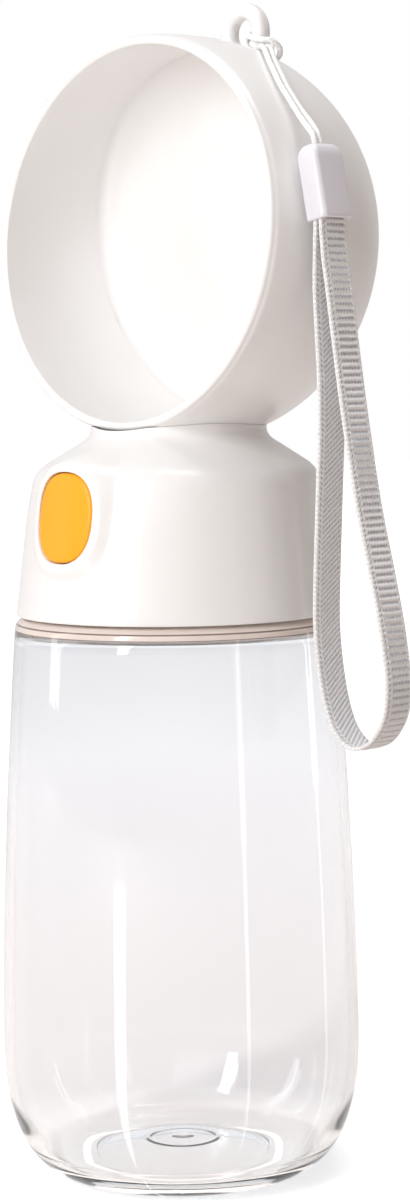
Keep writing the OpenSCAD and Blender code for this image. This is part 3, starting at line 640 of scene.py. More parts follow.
# ------------------------------------------------------------ the bottle
@dataclass
class Bottle:
    """The clear bottle with its push-up base, its shoulder and its threaded neck.

    Radii end in _r and heights in _z. mould_ring is the faint ring in the base, as
    (radius, width, height), and gate_nub the mark in its middle, as (radius, height).
    """

    material: bpy.types.Material
    columns: int = 224
    wall: float = 1.8
    floor_t: float = 2.6
    belly_r: float = BELLY_R
    belly_z: float = 28.0
    foot_r: float = 21.0
    foot_power: float = 2.4
    top_r: float = 32.2
    taper_power: float = 1.56
    shoulder_z: float = 112.15
    shoulder_round: float = 2.4
    inner_round: float = 2.0
    heel_z: float = 7.0
    pushup_r: float = 17.8
    pushup_h: float = 3.4
    pushup_power: float = 2.6
    mould_ring: Point = (6.8, 0.5, 0.14)
    gate_nub: tuple[float, float] = (1.6, 0.3)
    neck_r: float = 20.0
    neck_wall: float = 2.0
    mouth_z: float = 122.0
    thread_z: float = 114.4
    thread_turns: float = 1.5
    thread_pitch: float = 3.0
    thread_depth: float = 1.1
    thread_root: float = 1.3
    thread_crest: float = 0.6
    thread_steps: int = 48
    seal_foot_z: float = 109.75
    # Height of the upper dark line of painted shade in the seal's tint
    seal_shade_line_z: float = 111.0

    def side(self, z: np.ndarray) -> np.ndarray:
        """Outer radius at a height: a superellipse up to the belly, then a power of the way up.

        Args:
            z: the heights.

        Returns:
            The radii.
        """
        below = (np.clip(self.belly_z - z, 0, self.belly_z) / self.belly_z) ** self.foot_power
        foot = self.foot_r + (self.belly_r - self.foot_r) * np.maximum(0, 1 - below) ** (1 / self.foot_power)
        top = self.shoulder_z - self.shoulder_round
        part = np.clip((z - self.belly_z) / (top - self.belly_z), 0, 1)
        taper = self.belly_r - (self.belly_r - self.top_r) * part ** self.taper_power
        return np.where(z < self.belly_z, foot, taper)

    def outer(self) -> np.ndarray:
        """The outside: a dome with a bell-shaped ring and nub in it, the foot, the side,
        the rounded shoulder and the neck.

        Returns:
            Points as (radius, height), from the middle of the base to the mouth.
        """
        r = np.linspace(0, self.pushup_r, 60)
        ring_r, ring_w, ring_h = self.mould_ring
        nub_r, nub_h = self.gate_nub
        dome = self.pushup_h * (1 - (r / self.pushup_r) ** self.pushup_power)
        ring = ring_h * np.exp(-((r - ring_r) / ring_w) ** 2)
        nub = nub_h * np.exp(-(r / nub_r) ** 4)
        base = np.stack([r, dome - ring - nub], axis=1)
        foot = np.array([[self.pushup_r + 0.6, 0.02], [self.pushup_r + 1.6, 0], [self.foot_r - 0.6, 0]])
        top = self.shoulder_z - self.shoulder_round
        z = np.concatenate([self.belly_z * np.linspace(0, 1, 46) ** 1.7,
                            np.linspace(self.belly_z, top, 44)[1:]])
        side = np.stack([self.side(z), z], axis=1)
        edge = arc((self.top_r - self.shoulder_round, top), self.shoulder_round, 6, 90, 12)
        neck, shoulder, mouth = self.neck_r, self.shoulder_z, self.mouth_z
        neck = np.array([[neck + 0.8, shoulder], [neck + 0.1, shoulder + 0.25], [neck, shoulder + 0.9],
                         [neck, mouth - 0.3], [neck - 0.3, mouth]])
        return np.vstack([base, foot, side, edge, neck])

    def inner(self) -> np.ndarray:
        """The inside: the outside's side moved in by the wall, thicker at the heel, and a
        dome over the base.

        Returns:
            Points as (radius, height), from the mouth to the middle of the floor.
        """
        top, bore = self.shoulder_z - self.wall, self.neck_r - self.neck_wall
        mouth = np.array([[bore + 0.3, self.mouth_z], [bore, self.mouth_z - 0.3],
                          [bore, top + 0.8], [bore + 0.8, top]])
        edge = arc((self.top_r - self.wall - self.inner_round, top - self.inner_round),
                   self.inner_round, 90, 4, 8)
        z = np.linspace(top - 2.4, self.heel_z, 84)
        side = np.stack([self.side(z) - self.wall - 0.5 * ease(-z, -16, -self.heel_z), z], axis=1)
        heel = smooth_route(np.array([side[-1], [side[-1, 0] - 2.4, 4.4], [self.pushup_r + 4.5, 3.0],
                                      [self.pushup_r + 1.5, 2.75]]), 8)[1:]
        r = np.linspace(self.pushup_r + 0.6, 0, 60)
        rise = np.maximum(0, 1 - (r / (self.pushup_r + 0.4)) ** self.pushup_power)
        floor = np.stack([r, self.floor_t + self.pushup_h * rise], axis=1)
        return np.vstack([mouth, edge, side, heel, floor])

    def thread(self, mesh: Mesh) -> None:
        """Add the ridge on the neck: a trapezium with rounded tips, carried up a helix.

        Args:
            mesh: where it is added.
        """
        steps = int(self.thread_turns * self.thread_steps)
        i = np.arange(steps + 1)
        turn = i * FULL / self.thread_steps
        grow = np.minimum(1, np.minimum(i + 0.4, steps - i + 0.4) / 4)
        tip = self.neck_r + self.thread_depth * grow
        root = np.full(len(i), self.neck_r - 0.05)
        z = self.thread_z + self.thread_pitch * i / self.thread_steps
        wide, narrow = self.thread_root / 2, self.thread_crest / 2
        section = [(root, -wide), (tip - 0.12, -narrow - 0.06), (tip, -narrow + 0.08),
                   (tip, narrow - 0.08), (tip - 0.12, narrow + 0.06), (root, wide)]
        rings = np.stack([np.stack([r * np.cos(turn), r * np.sin(turn), z + w * grow], axis=1)
                          for r, w in section], axis=1)
        mesh.grid(rings)
        mesh.caps(rings)

    def seal_material(self) -> bpy.types.Material:
        """Make the clear shoulder where the silicone seal shows through it.

        Returns:
            A milky clear material with two dark lines of painted shade, at heights of Object Z.
        """
        n = Nodes(bpy.data.materials.new("clear_over_seal"))
        place = n.add("SeparateXYZ", Vector=n.add("TexCoord").outputs["Object"])
        level = n.math("DIVIDE", place.outputs["Z"], MM)
        # Painted shade: two thin dark lines in the seal's tint at set heights of Object Z; no groove is
        # modelled there.
        painted_shade_lines = [n.math("COMPARE", level, self.seal_shade_line_z, 0.15),
                   n.math("COMPARE", level, self.seal_foot_z + 0.08, 0.08)]
        tint = n.mix(n.math("MAXIMUM", *painted_shade_lines), linear("#FCEFE6"), linear("#94817A"))
        return n.principled(Base_Color=tint, Roughness=0.1, IOR=CLEAR_IOR, Transmission_Weight=0.25)

    def mark_seal(self, mesh: bpy.types.Mesh) -> None:
        """Give the outside of the shoulder, in front of the seal, the second material.

        Args:
            mesh: the bottle's mesh.
        """
        centres = np.zeros(len(mesh.polygons) * 3, dtype=np.float32)
        mesh.polygons.foreach_get("center", centres)
        x, y, z = centres.astype(float).reshape(-1, 3).T / MM
        r = np.hypot(x, y)
        outside = (z > self.shoulder_z - 1.6) | (r > self.top_r - 1.2)
        band = (z > self.seal_foot_z) & (z < self.shoulder_z + 0.2) & (r > self.neck_r)
        mesh.polygons.foreach_set("material_index", (band & outside).astype(np.int32))

    def build(self) -> list[bpy.types.Object]:
        """Make the bottle and let it stand for its node.

        Returns:
            Its one piece.
        """
        mesh = Mesh()
        profile = np.vstack([self.outer(), self.inner()])
        skin = lathe(profile[1:-1], self.columns)
        mesh.grid(skin)
        mesh.fan(skin[0], (0, 0, profile[0, 1]))
        mesh.fan(skin[-1], (0, 0, profile[-1, 1]))
        self.thread(mesh)
        piece = mesh.build("bottle_clear", [self.material, self.seal_material()], sharp=50)
        self.mark_seal(piece.data)
        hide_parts("bottle")
        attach(piece, "bottle")
        return [piece]


# ------------------------------------------------------------ the bowl
@dataclass
class Bowl:
    """The bowl's shell with its eyelet, and the slanting floor inside it.

    Depths end in _d and run from the rim's plane to the back. eye_section is half the
    ring's thickness, (in its plane, across it), and eye_drop how far the pad's base lies
    below the ring's middle. pad_r is the pad's radius, (at its top, more at its foot).
    """

    material: bpy.types.Material
    centre: Point = (0.0, -11.1, 187.6)
    tilt: float = math.radians(4.6)
    columns: int = 256
    rim_r: float = 38.56
    belly_r: float = 40.1
    belly_d: float = 15.0
    back_d: float = 28.0
    back_round: float = 20.6
    wall: float = 1.75
    lip_round: float = 0.75
    lip_d: float = 0.9
    floor_d: float = 28.3
    floor_lean: float = math.radians(10.8)
    floor_t: float = 1.6
    floor_fillet: float = 2.6
    dish_r: float = 19.0
    dish_d: float = 0.6
    eye_centre: Point = (0.0, 22.0, 228.6)
    eye_r: float = 4.4
    eye_section: tuple[float, float] = (1.65, 1.75)
    eye_power: float = 2.7
    eye_columns: int = 72
    eye_drop: float = 6.9
    pad_r: tuple[float, float] = (1.9, 4.2)
    pad_wide: float = 1.1
    pad_h: float = 2.9
    pad_sunk: float = 0.25

    def __post_init__(self) -> None:
        """Work out the bowl's own axes: to its right, towards its back and up its rim."""
        self.right = np.array([1.0, 0.0, 0.0])
        self.axis = np.array([0.0, math.cos(self.tilt), -math.sin(self.tilt)])
        self.up = np.array([0.0, math.sin(self.tilt), math.cos(self.tilt)])
        self.turn = turns(self.columns)

    def place(self, depth: Numbers, radius: Numbers, turn: Numbers) -> np.ndarray:
        """Points by their place in the bowl: the centre plus each amount times its axis.

        Args:
            depth: how far behind the rim.
            radius: how far from the bowl's axis.
            turn: the angle round the bowl; 0 is +X and a quarter turn is up.

        Returns:
            The points.
        """
        depth, radius, turn = np.broadcast_arrays(depth, radius, turn)
        return (self.centre + depth[..., None] * self.axis
                + (radius * np.cos(turn))[..., None] * self.right
                + (radius * np.sin(turn))[..., None] * self.up)

    def coordinates(self, points: np.ndarray) -> tuple[np.ndarray, np.ndarray]:
        """Depth and radius of points in the bowl."""
        v = points - self.centre
        return v @ self.axis, np.hypot(v @ self.right, v @ self.up)

    def radius(self, depth: Numbers, inset: float = 0.0) -> np.ndarray:
        """The bowl's radius: a parabola from the rim to the belly, then a quarter ellipse.

        Args:
            depth: how far behind the rim.
            inset: how far inside the outer skin.

        Returns:
            The radius there.
        """
        front = self.belly_r - inset - (self.belly_r - self.rim_r) * (
            (self.belly_d - depth) / self.belly_d) ** 2
        part = np.clip((depth - self.belly_d) / (self.back_d - inset), 0, 1)
        back = self.belly_r - inset - (self.back_round - inset) * (1 - np.sqrt(1 - part ** 2))
        return np.where(depth < self.belly_d, front, back)

    def skin(self, start: float, inset: float, stop: float) -> np.ndarray:
        """One skin of the shell, with its rows closer together where the back turns.

        Args:
            start: the first depth.
            inset: how far inside the outer skin.
            stop: the last angle round the back, a quarter turn in its middle.

        Returns:
            Points as (depth, radius).
        """
        back = self.belly_d + (self.back_d - inset) * np.sin(np.linspace(0.05, stop, 26))
        depth = np.concatenate([np.linspace(start, self.belly_d, 18), back])
        return np.stack([depth, self.radius(depth, inset)], axis=1)

    def shell(self) -> bpy.types.Object:
        """Make the outer shell and the inner wall as one body.

        Returns:
            The piece.
        """
        a = np.linspace(0, math.pi / 2, 9)
        lip = np.stack([self.lip_d * (1 - np.sin(a)), self.rim_r - self.lip_round * (1 - np.cos(a))], axis=1)
        inside_r = self.rim_r - self.wall
        roll = [(0.02, inside_r + 0.55), (0.12, inside_r + 0.28), (0.4, inside_r + 0.06)]
        profile = np.vstack([self.skin(1.2, 0.0, math.pi / 2)[::-1], lip, roll,
                             self.skin(self.lip_d, self.wall, math.pi / 2 - 0.02)])
        grid = self.place(profile[:, :1], profile[:, 1:], self.turn)
        mesh = Mesh()
        mesh.grid(grid)
        depth = self.belly_d + self.back_d
        mesh.fan(grid[0], self.place(depth, 0, 0))
        mesh.fan(grid[-1], self.place(depth - self.wall, 0, 0))
        return mesh.build("bowl_white", [self.material], sharp=45)

    def eyelet(self) -> bpy.types.Object:
        """Make the ring, a squarish torus, with the soft pad that it grows out of.

        The pad's rows are circles dropped onto the bowl and then raised by a power of
        the way up, while their radius shrinks.

        Returns:
            The piece.
        """
        around = turns(self.eye_columns)
        wide, deep = oval(*self.eye_section, turns(28), self.eye_power).T
        reach = (self.eye_r + wide)[:, None]
        ring = np.stack([reach * np.cos(around), np.repeat(deep[:, None], len(around), axis=1),
                         reach * np.sin(around)], axis=2) + self.eye_centre
        mesh = Mesh()
        mesh.grid(np.vstack([ring, ring[:1]]))
        up = np.linspace(0, 1, 14)[:, None]
        reach = self.pad_r[0] + self.pad_r[1] * (1 - up) ** 2.2
        circle = np.stack([reach * np.cos(around) * self.pad_wide, reach * np.sin(around),
                           np.full((len(up), len(around)), -self.eye_drop)], axis=2) + self.eye_centre
        depth, _ = self.coordinates(circle)
        v = circle - self.centre
        top = np.sqrt(np.maximum(self.radius(depth) ** 2 - (v @ self.right) ** 2, 0))
        pad = circle + (top - v @ self.up)[..., None] * self.up
        pad[..., 2] += -self.pad_sunk + self.pad_h * up ** 1.3
        mesh.grid(pad)
        mesh.fan(pad[0], pad[0].mean(axis=0) - (0, 0, 0.6))
        mesh.fan(pad[-1], pad[-1].mean(axis=0) + (0, 0, 0.3))
        piece = mesh.build("eyelet_ring", [self.material])
        soften(piece, 0.16, 6)
        return piece

    def leaning(self, scale: np.ndarray, lift: np.ndarray, extra: float) -> np.ndarray:
        """Rings of the leaning plane, each a share of the wall's radius at its own depth.

        The depth of a point sets the wall's radius there, which sets the depth, so the
        two are worked out in turn until they agree.

        Args:
            scale: the rings' shares of the radius.
            lift: how far they stand off the plane.
            extra: how far behind the floor's front the plane lies.

        Returns:
            The rings.
        """
        wall = self.wall + 0.05
        depth = np.full((len(scale), self.columns), self.floor_d + extra)
        for _ in range(40):
            r = scale[:, None] * self.radius(depth, wall)
            slope = r * np.sin(self.turn) * math.tan(self.floor_lean)
            depth = self.floor_d + extra - slope + lift[:, None]
        return self.place(depth, r, self.turn)

    def floor(self) -> bpy.types.Object:
        """Make the slanting floor: a round fillet up the wall and a shallow dish in the middle.

        Returns:
            The piece.
        """
        fillet = np.linspace(0, math.pi / 2, 14)
        scale = np.concatenate([1 - 0.1 * (1 - np.cos(fillet)), np.linspace(0.88, 0.02, 60)])
        lift = np.concatenate([-self.floor_fillet * (1 - np.sin(fillet)), np.zeros(60)])
        mean_r = float(self.radius(self.floor_d, self.wall + 0.05))
        lift += self.dish_d * ease(-scale * mean_r, -self.dish_r - 2.5, -self.dish_r + 2.5)
        front = self.leaning(scale, lift, 0.0)
        rear = self.leaning(np.array([0.02, 0.5, 0.985, 1.0]), np.zeros(4), self.floor_t)
        mesh = Mesh()
        mesh.grid(np.vstack([rear, front[:1]]))
        mesh.grid(front)
        mesh.caps(np.stack([front[-1], rear[0]]))
        piece = mesh.build("bowl_floor_white", [self.material], sharp=60)
        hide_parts("bowl_floor")
        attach(piece, "head")
        return piece

    def build(self) -> list[bpy.types.Object]:
        """Make the bowl's pieces and let them stand for their nodes.

        Returns:
            The shell with its eyelet, and the floor.
        """
        joined = join([self.shell(), self.eyelet()], "bowl_white")
        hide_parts("bowl_shell")
        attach(joined, "head")
        return [joined, self.floor()]


# ------------------------------------------------------------ the head
# The bezel's inner lip, as (distance outside the opening, share of the rise, depth)
BEZEL_LIP = ((1.45, 0.97, 0), (1.1, 1.0, 0), (0.7, 1.0, 0), (0.4, 1.0, 0.01),
             (0.2, 1.0, 0.05), (0.07, 1.0, 0.14), (0.0, 1.0, 0.3))


@dataclass
class Head:
    """The white head: skirt, bezel, shoulder and the neck under the bowl.

    The opening is that of the button. bezel_fillet is the width of the hollow round the
    bezel, (below, more above). The window is the part of the turned grid that the bezel
    fills: window_half columns to each side of the front, window_rows rows.
    """

    material: bpy.types.Material
    bowl: Bowl
    wall: float = 1.6
    skirt_r: float = 31.8
    skirt_z: float = 112.6
    skirt_top_r: float = 28.7
    skirt_h: float = 25.6
    foot_round: float = 0.35
    shoulder_round: float = 5.0
    slope: float = math.radians(58)
    stem_r: float = 17.5
    stem_round: float = 3.0
    stem_back: float = 1.7
    touch: float = 0.05
    opening_z: float = 132.9
    opening_half_w: float = 7.62
    opening_half_h: float = 8.82
    bezel_w: float = 2.1
    bezel_out: float = 1.0
    bezel_fillet: tuple[float, float] = (1.9, 0.9)
    sleeve: float = 5.2
    sleeve_front_y: float = -28.6
    columns: int = 240
    window_half: int = 18
    window_rows: int = 34
    window_low: float = 119.3
    window_high: float = 146.4

    def __post_init__(self) -> None:
        """Work out the outline that is turned, outside and inside, and the bezel's face."""
        self.skirt_top_z = self.skirt_z + self.skirt_h
        self.face_y = -float(self.skirt(self.opening_z) + self.bezel_out)
        self.outlines = {inset: self.outline(inset) for inset in (0.0, self.wall)}

    def back(self, z: Numbers) -> Numbers:
        """How far the head's centre lies behind the bottle's axis at a height."""
        return self.stem_back * ease(z, self.skirt_top_z - 8, self.skirt_top_z + 12)

    def skirt(self, z: Numbers, inset: float = 0.0) -> Numbers:
        """Radius of the skirt, a straight cone, at a height."""
        return self.skirt_r - inset - (self.skirt_r - self.skirt_top_r) / self.skirt_h * (z - self.skirt_z)

    def outline(self, inset: float) -> np.ndarray:
        """The outline: the cone, a round edge, a straight slope, a hollow and the stem.

        Args:
            inset: how far inside the outside.

        Returns:
            Points as (radius, height), from the skirt's foot to inside the bowl.
        """
        slope = math.degrees(self.slope)
        edge_r = self.skirt_top_r - self.shoulder_round
        line_r = edge_r + self.shoulder_round * math.cos(self.slope)
        line_z = self.skirt_top_z + self.shoulder_round * math.sin(self.slope)
        hollow_r = self.stem_r + self.stem_round - self.stem_round * math.cos(self.slope)
        stem_z = (line_z + (line_r - hollow_r) / math.tan(self.slope)
                  + self.stem_round * math.sin(self.slope))
        z = np.linspace(self.skirt_z + self.foot_round, self.skirt_top_z - 0.3, 40)
        foot = np.stack([self.skirt(z, inset), z], axis=1)
        edge = arc((edge_r, self.skirt_top_z), self.shoulder_round - inset, 7, slope, 16)
        hollow = arc((self.stem_r + self.stem_round, stem_z), self.stem_round + inset, 180 + slope, 180, 14)
        z = np.linspace(stem_z + 0.4, stem_z + 6, 12)
        stem = np.stack([np.full(len(z), self.stem_r - inset), z], axis=1)
        return np.vstack([foot, edge, hollow, stem])

    def radius(self, z: Numbers, inset: float = 0.0) -> Numbers:
        """Radius of the outside, or of the inside, at a height."""
        outline = self.outlines[inset]
        return np.interp(z, outline[:, 1], outline[:, 0])

    def points(self, turn: np.ndarray, z: np.ndarray, r: np.ndarray) -> np.ndarray:
        """Points round the head's own axis, which leans back with the height.

        Args:
            turn: angles from the front towards +X.
            z: heights.
            r: radii.

        Returns:
            The points.
        """
        return np.stack(np.broadcast_arrays(r * np.sin(turn), -r * np.cos(turn) + self.back(z), z), axis=-1)

    def ring_grid(self, z: np.ndarray, inset: float = 0.0, radii: np.ndarray | None = None) -> np.ndarray:
        """Rows of points round the head.

        Args:
            z: the rows' heights.
            inset: how far inside the outside.
            radii: the rows' radii, where they aren't the outline's.

        Returns:
            The grid.
        """
        r = self.radius(z, inset) if radii is None else radii
        return self.points(turns(self.columns), z[:, None], r[:, None])

    def window_ring(self, inset: float) -> np.ndarray:
        """The edge of the window in the head's grid.

        Args:
            inset: how far inside the outside.

        Returns:
            Its points, anticlockwise from the middle of its right side.
        """
        half, mid = self.window_half, self.window_rows // 2
        across = np.arange(-half, half + 1) * FULL / self.columns
        up = np.linspace(self.window_low, self.window_high, self.window_rows + 1)
        level = np.ones(2 * half)
        turn = np.concatenate([np.full(len(up) - mid, across[-1]), across[::-1][1:],
                               np.full(len(up) - 1, across[0]), across[1:], np.full(mid - 1, across[-1])])
        z = np.concatenate([up[mid:], level * up[-1], up[::-1][1:], level * up[0], up[1:mid]])
        return self.points(turn, z, self.radius(z, inset))

    def bezel_ring(self, edge: np.ndarray, rise: float, sink: float = 0.0) -> np.ndarray:
        """A ring between the head's outside and the bezel's face, a larger cone.

        Args:
            edge: the ring seen from the front, about the opening's middle.
            rise: 0 on the head's outside, 1 on the bezel's face.
            sink: how far behind that, in mm.

        Returns:
            The points.
        """
        x, z = edge[:, 0], edge[:, 1] + self.opening_z
        head_y = -np.sqrt(self.radius(z) ** 2 - x ** 2) + self.back(z)
        face_y = -np.sqrt((self.skirt(z) + self.bezel_out) ** 2 - x ** 2)
        return np.stack([x, head_y + rise * (face_y - head_y) + sink, z], axis=1)

    def bezel(self, mesh: Mesh) -> None:
        """Add the raised bezel and the sleeve of the button between the two windows.

        The bezel rises from the head in a hollow fillet, which is wider at the top, then
        rolls over its lip into the opening.

        Args:
            mesh: where they are added.
        """
        outer, inner = self.window_ring(0.0), self.window_ring(self.wall)
        angles = np.arctan2(outer[:, 2] - self.opening_z, outer[:, 0])
        half_w, half_h = self.opening_half_w, self.opening_half_h
        low, more = self.bezel_fillet
        fillet = low + more * ease(np.sin(angles), 0.1, 0.9)
        rings = [outer]
        for part in np.linspace(1, 0, 13):
            out = self.bezel_w - 0.4 + part * fillet
            rise = float(0.9 * (1 - part) ** 1.6 * (1 + 0.6 * part))
            rings.append(self.bezel_ring(oval(half_w + out, half_h + out, angles), rise))
        for out, rise, sink in BEZEL_LIP:
            rings.append(self.bezel_ring(oval(half_w + out, half_h + out, angles), rise, sink))
        rear = np.full(len(angles), self.face_y + self.sleeve)
        bore = oval(half_w, half_h, angles) + [0, self.opening_z]
        skin = oval(half_w + self.bezel_w - 0.2, half_h + self.bezel_w - 0.6, angles) + [0, self.opening_z]
        behind = -np.sqrt(self.radius(skin[:, 1], self.wall) ** 2 - skin[:, 0] ** 2) + self.back(skin[:, 1])
        front = np.full(len(angles), self.sleeve_front_y)
        for edge, y in ((bore, front), (bore, rear), (skin, rear), (skin, behind)):
            rings.append(np.stack([edge[:, 0], y, edge[:, 1]], axis=1))
        rings.append(inner)
        mesh.grid(np.array(rings))

    def trimmed(self, grid: np.ndarray) -> np.ndarray:
        """End the neck's columns where they meet the bowl.

        Each column is cut where it first comes within a touch of the bowl's skin, and
        its last rows are spread evenly up to the cut.

        Args:
            grid: the turned grid above the window.

        Returns:
            The same grid, with its columns cut.
        """
        out = grid.copy()
        depth, radius = self.bowl.coordinates(grid)
        skin = np.where(depth < 0, self.bowl.rim_r, self.bowl.radius(depth))
        inside = skin - radius + self.touch
        for j in range(grid.shape[1]):
            column, reach = grid[:, j], inside[:, j]
            hit = np.nonzero(reach > 0)[0]
            if not len(hit) or hit[0] == 0:
                continue
            k = hit[0]
            part = reach[k - 1] / (reach[k - 1] - reach[k])
            end = column[k - 1] + (column[k] - column[k - 1]) * np.clip(part, 0, 1)
            start = max(0, k - 3)
            spread = np.linspace(0, 1, len(column) - start)[:, None]
            out[start:, j] = column[start] + (end - column[start]) * spread
        return out

    def build(self) -> list[bpy.types.Object]:
        """Make the head and let it stand for its node.

        Returns:
            Its one piece.
        """
        mesh = Mesh()
        half, low, high = self.window_half, self.window_low, self.window_high
        foot_z = self.skirt_z + self.foot_round
        for inset in (0.0, self.wall):
            mesh.grid(self.ring_grid(np.linspace(foot_z, low, 8), inset))
            beside = self.ring_grid(np.linspace(low, high, self.window_rows + 1), inset)
            mesh.grid(beside[:, half:self.columns - half + 1], wrap=False)
            above = self.outlines[inset]
            above = np.vstack([[self.radius(high, inset), high], above[above[:, 1] > high + 0.05]])
            mesh.grid(self.trimmed(self.ring_grid(above[:, 1], radii=above[:, 0])))
        foot = np.array([[self.radius(foot_z), foot_z], [self.skirt_r - 0.1, self.skirt_z + 0.1],
                         [self.skirt_r - 0.35, self.skirt_z],
                         [self.skirt_r - self.wall + 0.3, self.skirt_z],
                         [self.radius(foot_z, self.wall), foot_z]])
        mesh.grid(self.ring_grid(foot[:, 1], radii=foot[:, 0]))
        self.bezel(mesh)
        piece = mesh.build("head_white", [self.material], sharp=35)
        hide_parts("head_shell")
        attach(piece, "head")
        return [piece]


# ------------------------------------------------------------ the button
# The button's face from its middle to its side, as (distance inside the edge, depth)
BUTTON_FACE = ((7.3, 0), (6.8, 0), (5.8, 0), (4.6, 0), (3.4, 0), (2.4, 0), (1.6, 0), (1.0, 0.01),
               (0.65, 0.04), (0.4, 0.09), (0.22, 0.18), (0.1, 0.32), (0.03, 0.5), (0.0, 0.7))


@dataclass
class Button:
    """The oval push button, hollow behind, with its retaining flange.

    The gap is the play between it and the head's opening, and the recess is how far its
    face lies behind the bezel's.
    """

    material: bpy.types.Material
    head: Head
    gap: float = 0.22
    recess: float = 0.15
    depth: float = 4.0
    wall: float = 1.4
    flange_w: float = 0.9
    flange_t: float = 1.0
    columns: int = 160

    def edge(self, outward: float) -> tuple[np.ndarray, np.ndarray]:
        """The button's edge seen from the front.

        Args:
            outward: how far it is moved out.

        Returns:
            The x and the z of its points.
        """
        half_w, half_h = self.head.opening_half_w - self.gap, self.head.opening_half_h - self.gap
        x, z = oval(half_w + outward, half_h + outward, turns(self.columns)).T
        return x, z + self.head.opening_z

    def curved(self, inward: float, sink: float) -> np.ndarray:
        """A ring of the face, which follows the bezel's cone.

        Args:
            inward: how far inside the edge.
            sink: how far behind the face.

        Returns:
            The points.
        """
        x, z = self.edge(-inward)
        r = self.head.skirt(z) + self.head.bezel_out - self.recess - sink
        return np.stack([x, -np.sqrt(r ** 2 - x ** 2), z], axis=1)

    def flat(self, outward: float, y: float) -> np.ndarray:
        """A ring in a plane across Y, moved out from the edge."""
        x, z = self.edge(outward)
        return np.stack([x, np.full(len(x), y), z], axis=1)

    def build(self) -> list[bpy.types.Object]:
        """Make the button and let it stand for its node.

        Returns:
            Its one piece.
        """
        face_y = self.head.face_y
        back = face_y + self.depth
        front = back - self.flange_t + 0.05
        rear = ((0.0, front), (self.flange_w, front), (self.flange_w, back), (-self.wall, back),
                (-self.wall, face_y + self.wall + 1), (-7.0, face_y + self.wall + 1))
        rings = np.array([self.curved(inward, sink) for inward, sink in BUTTON_FACE]
                         + [self.flat(outward, y) for outward, y in rear])
        mesh = Mesh()
        mesh.grid(rings)
        mesh.caps(rings)
        piece = mesh.build("button_yellow", [self.material], sharp=50)
        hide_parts("button")
        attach(piece, "button")
        return [piece]


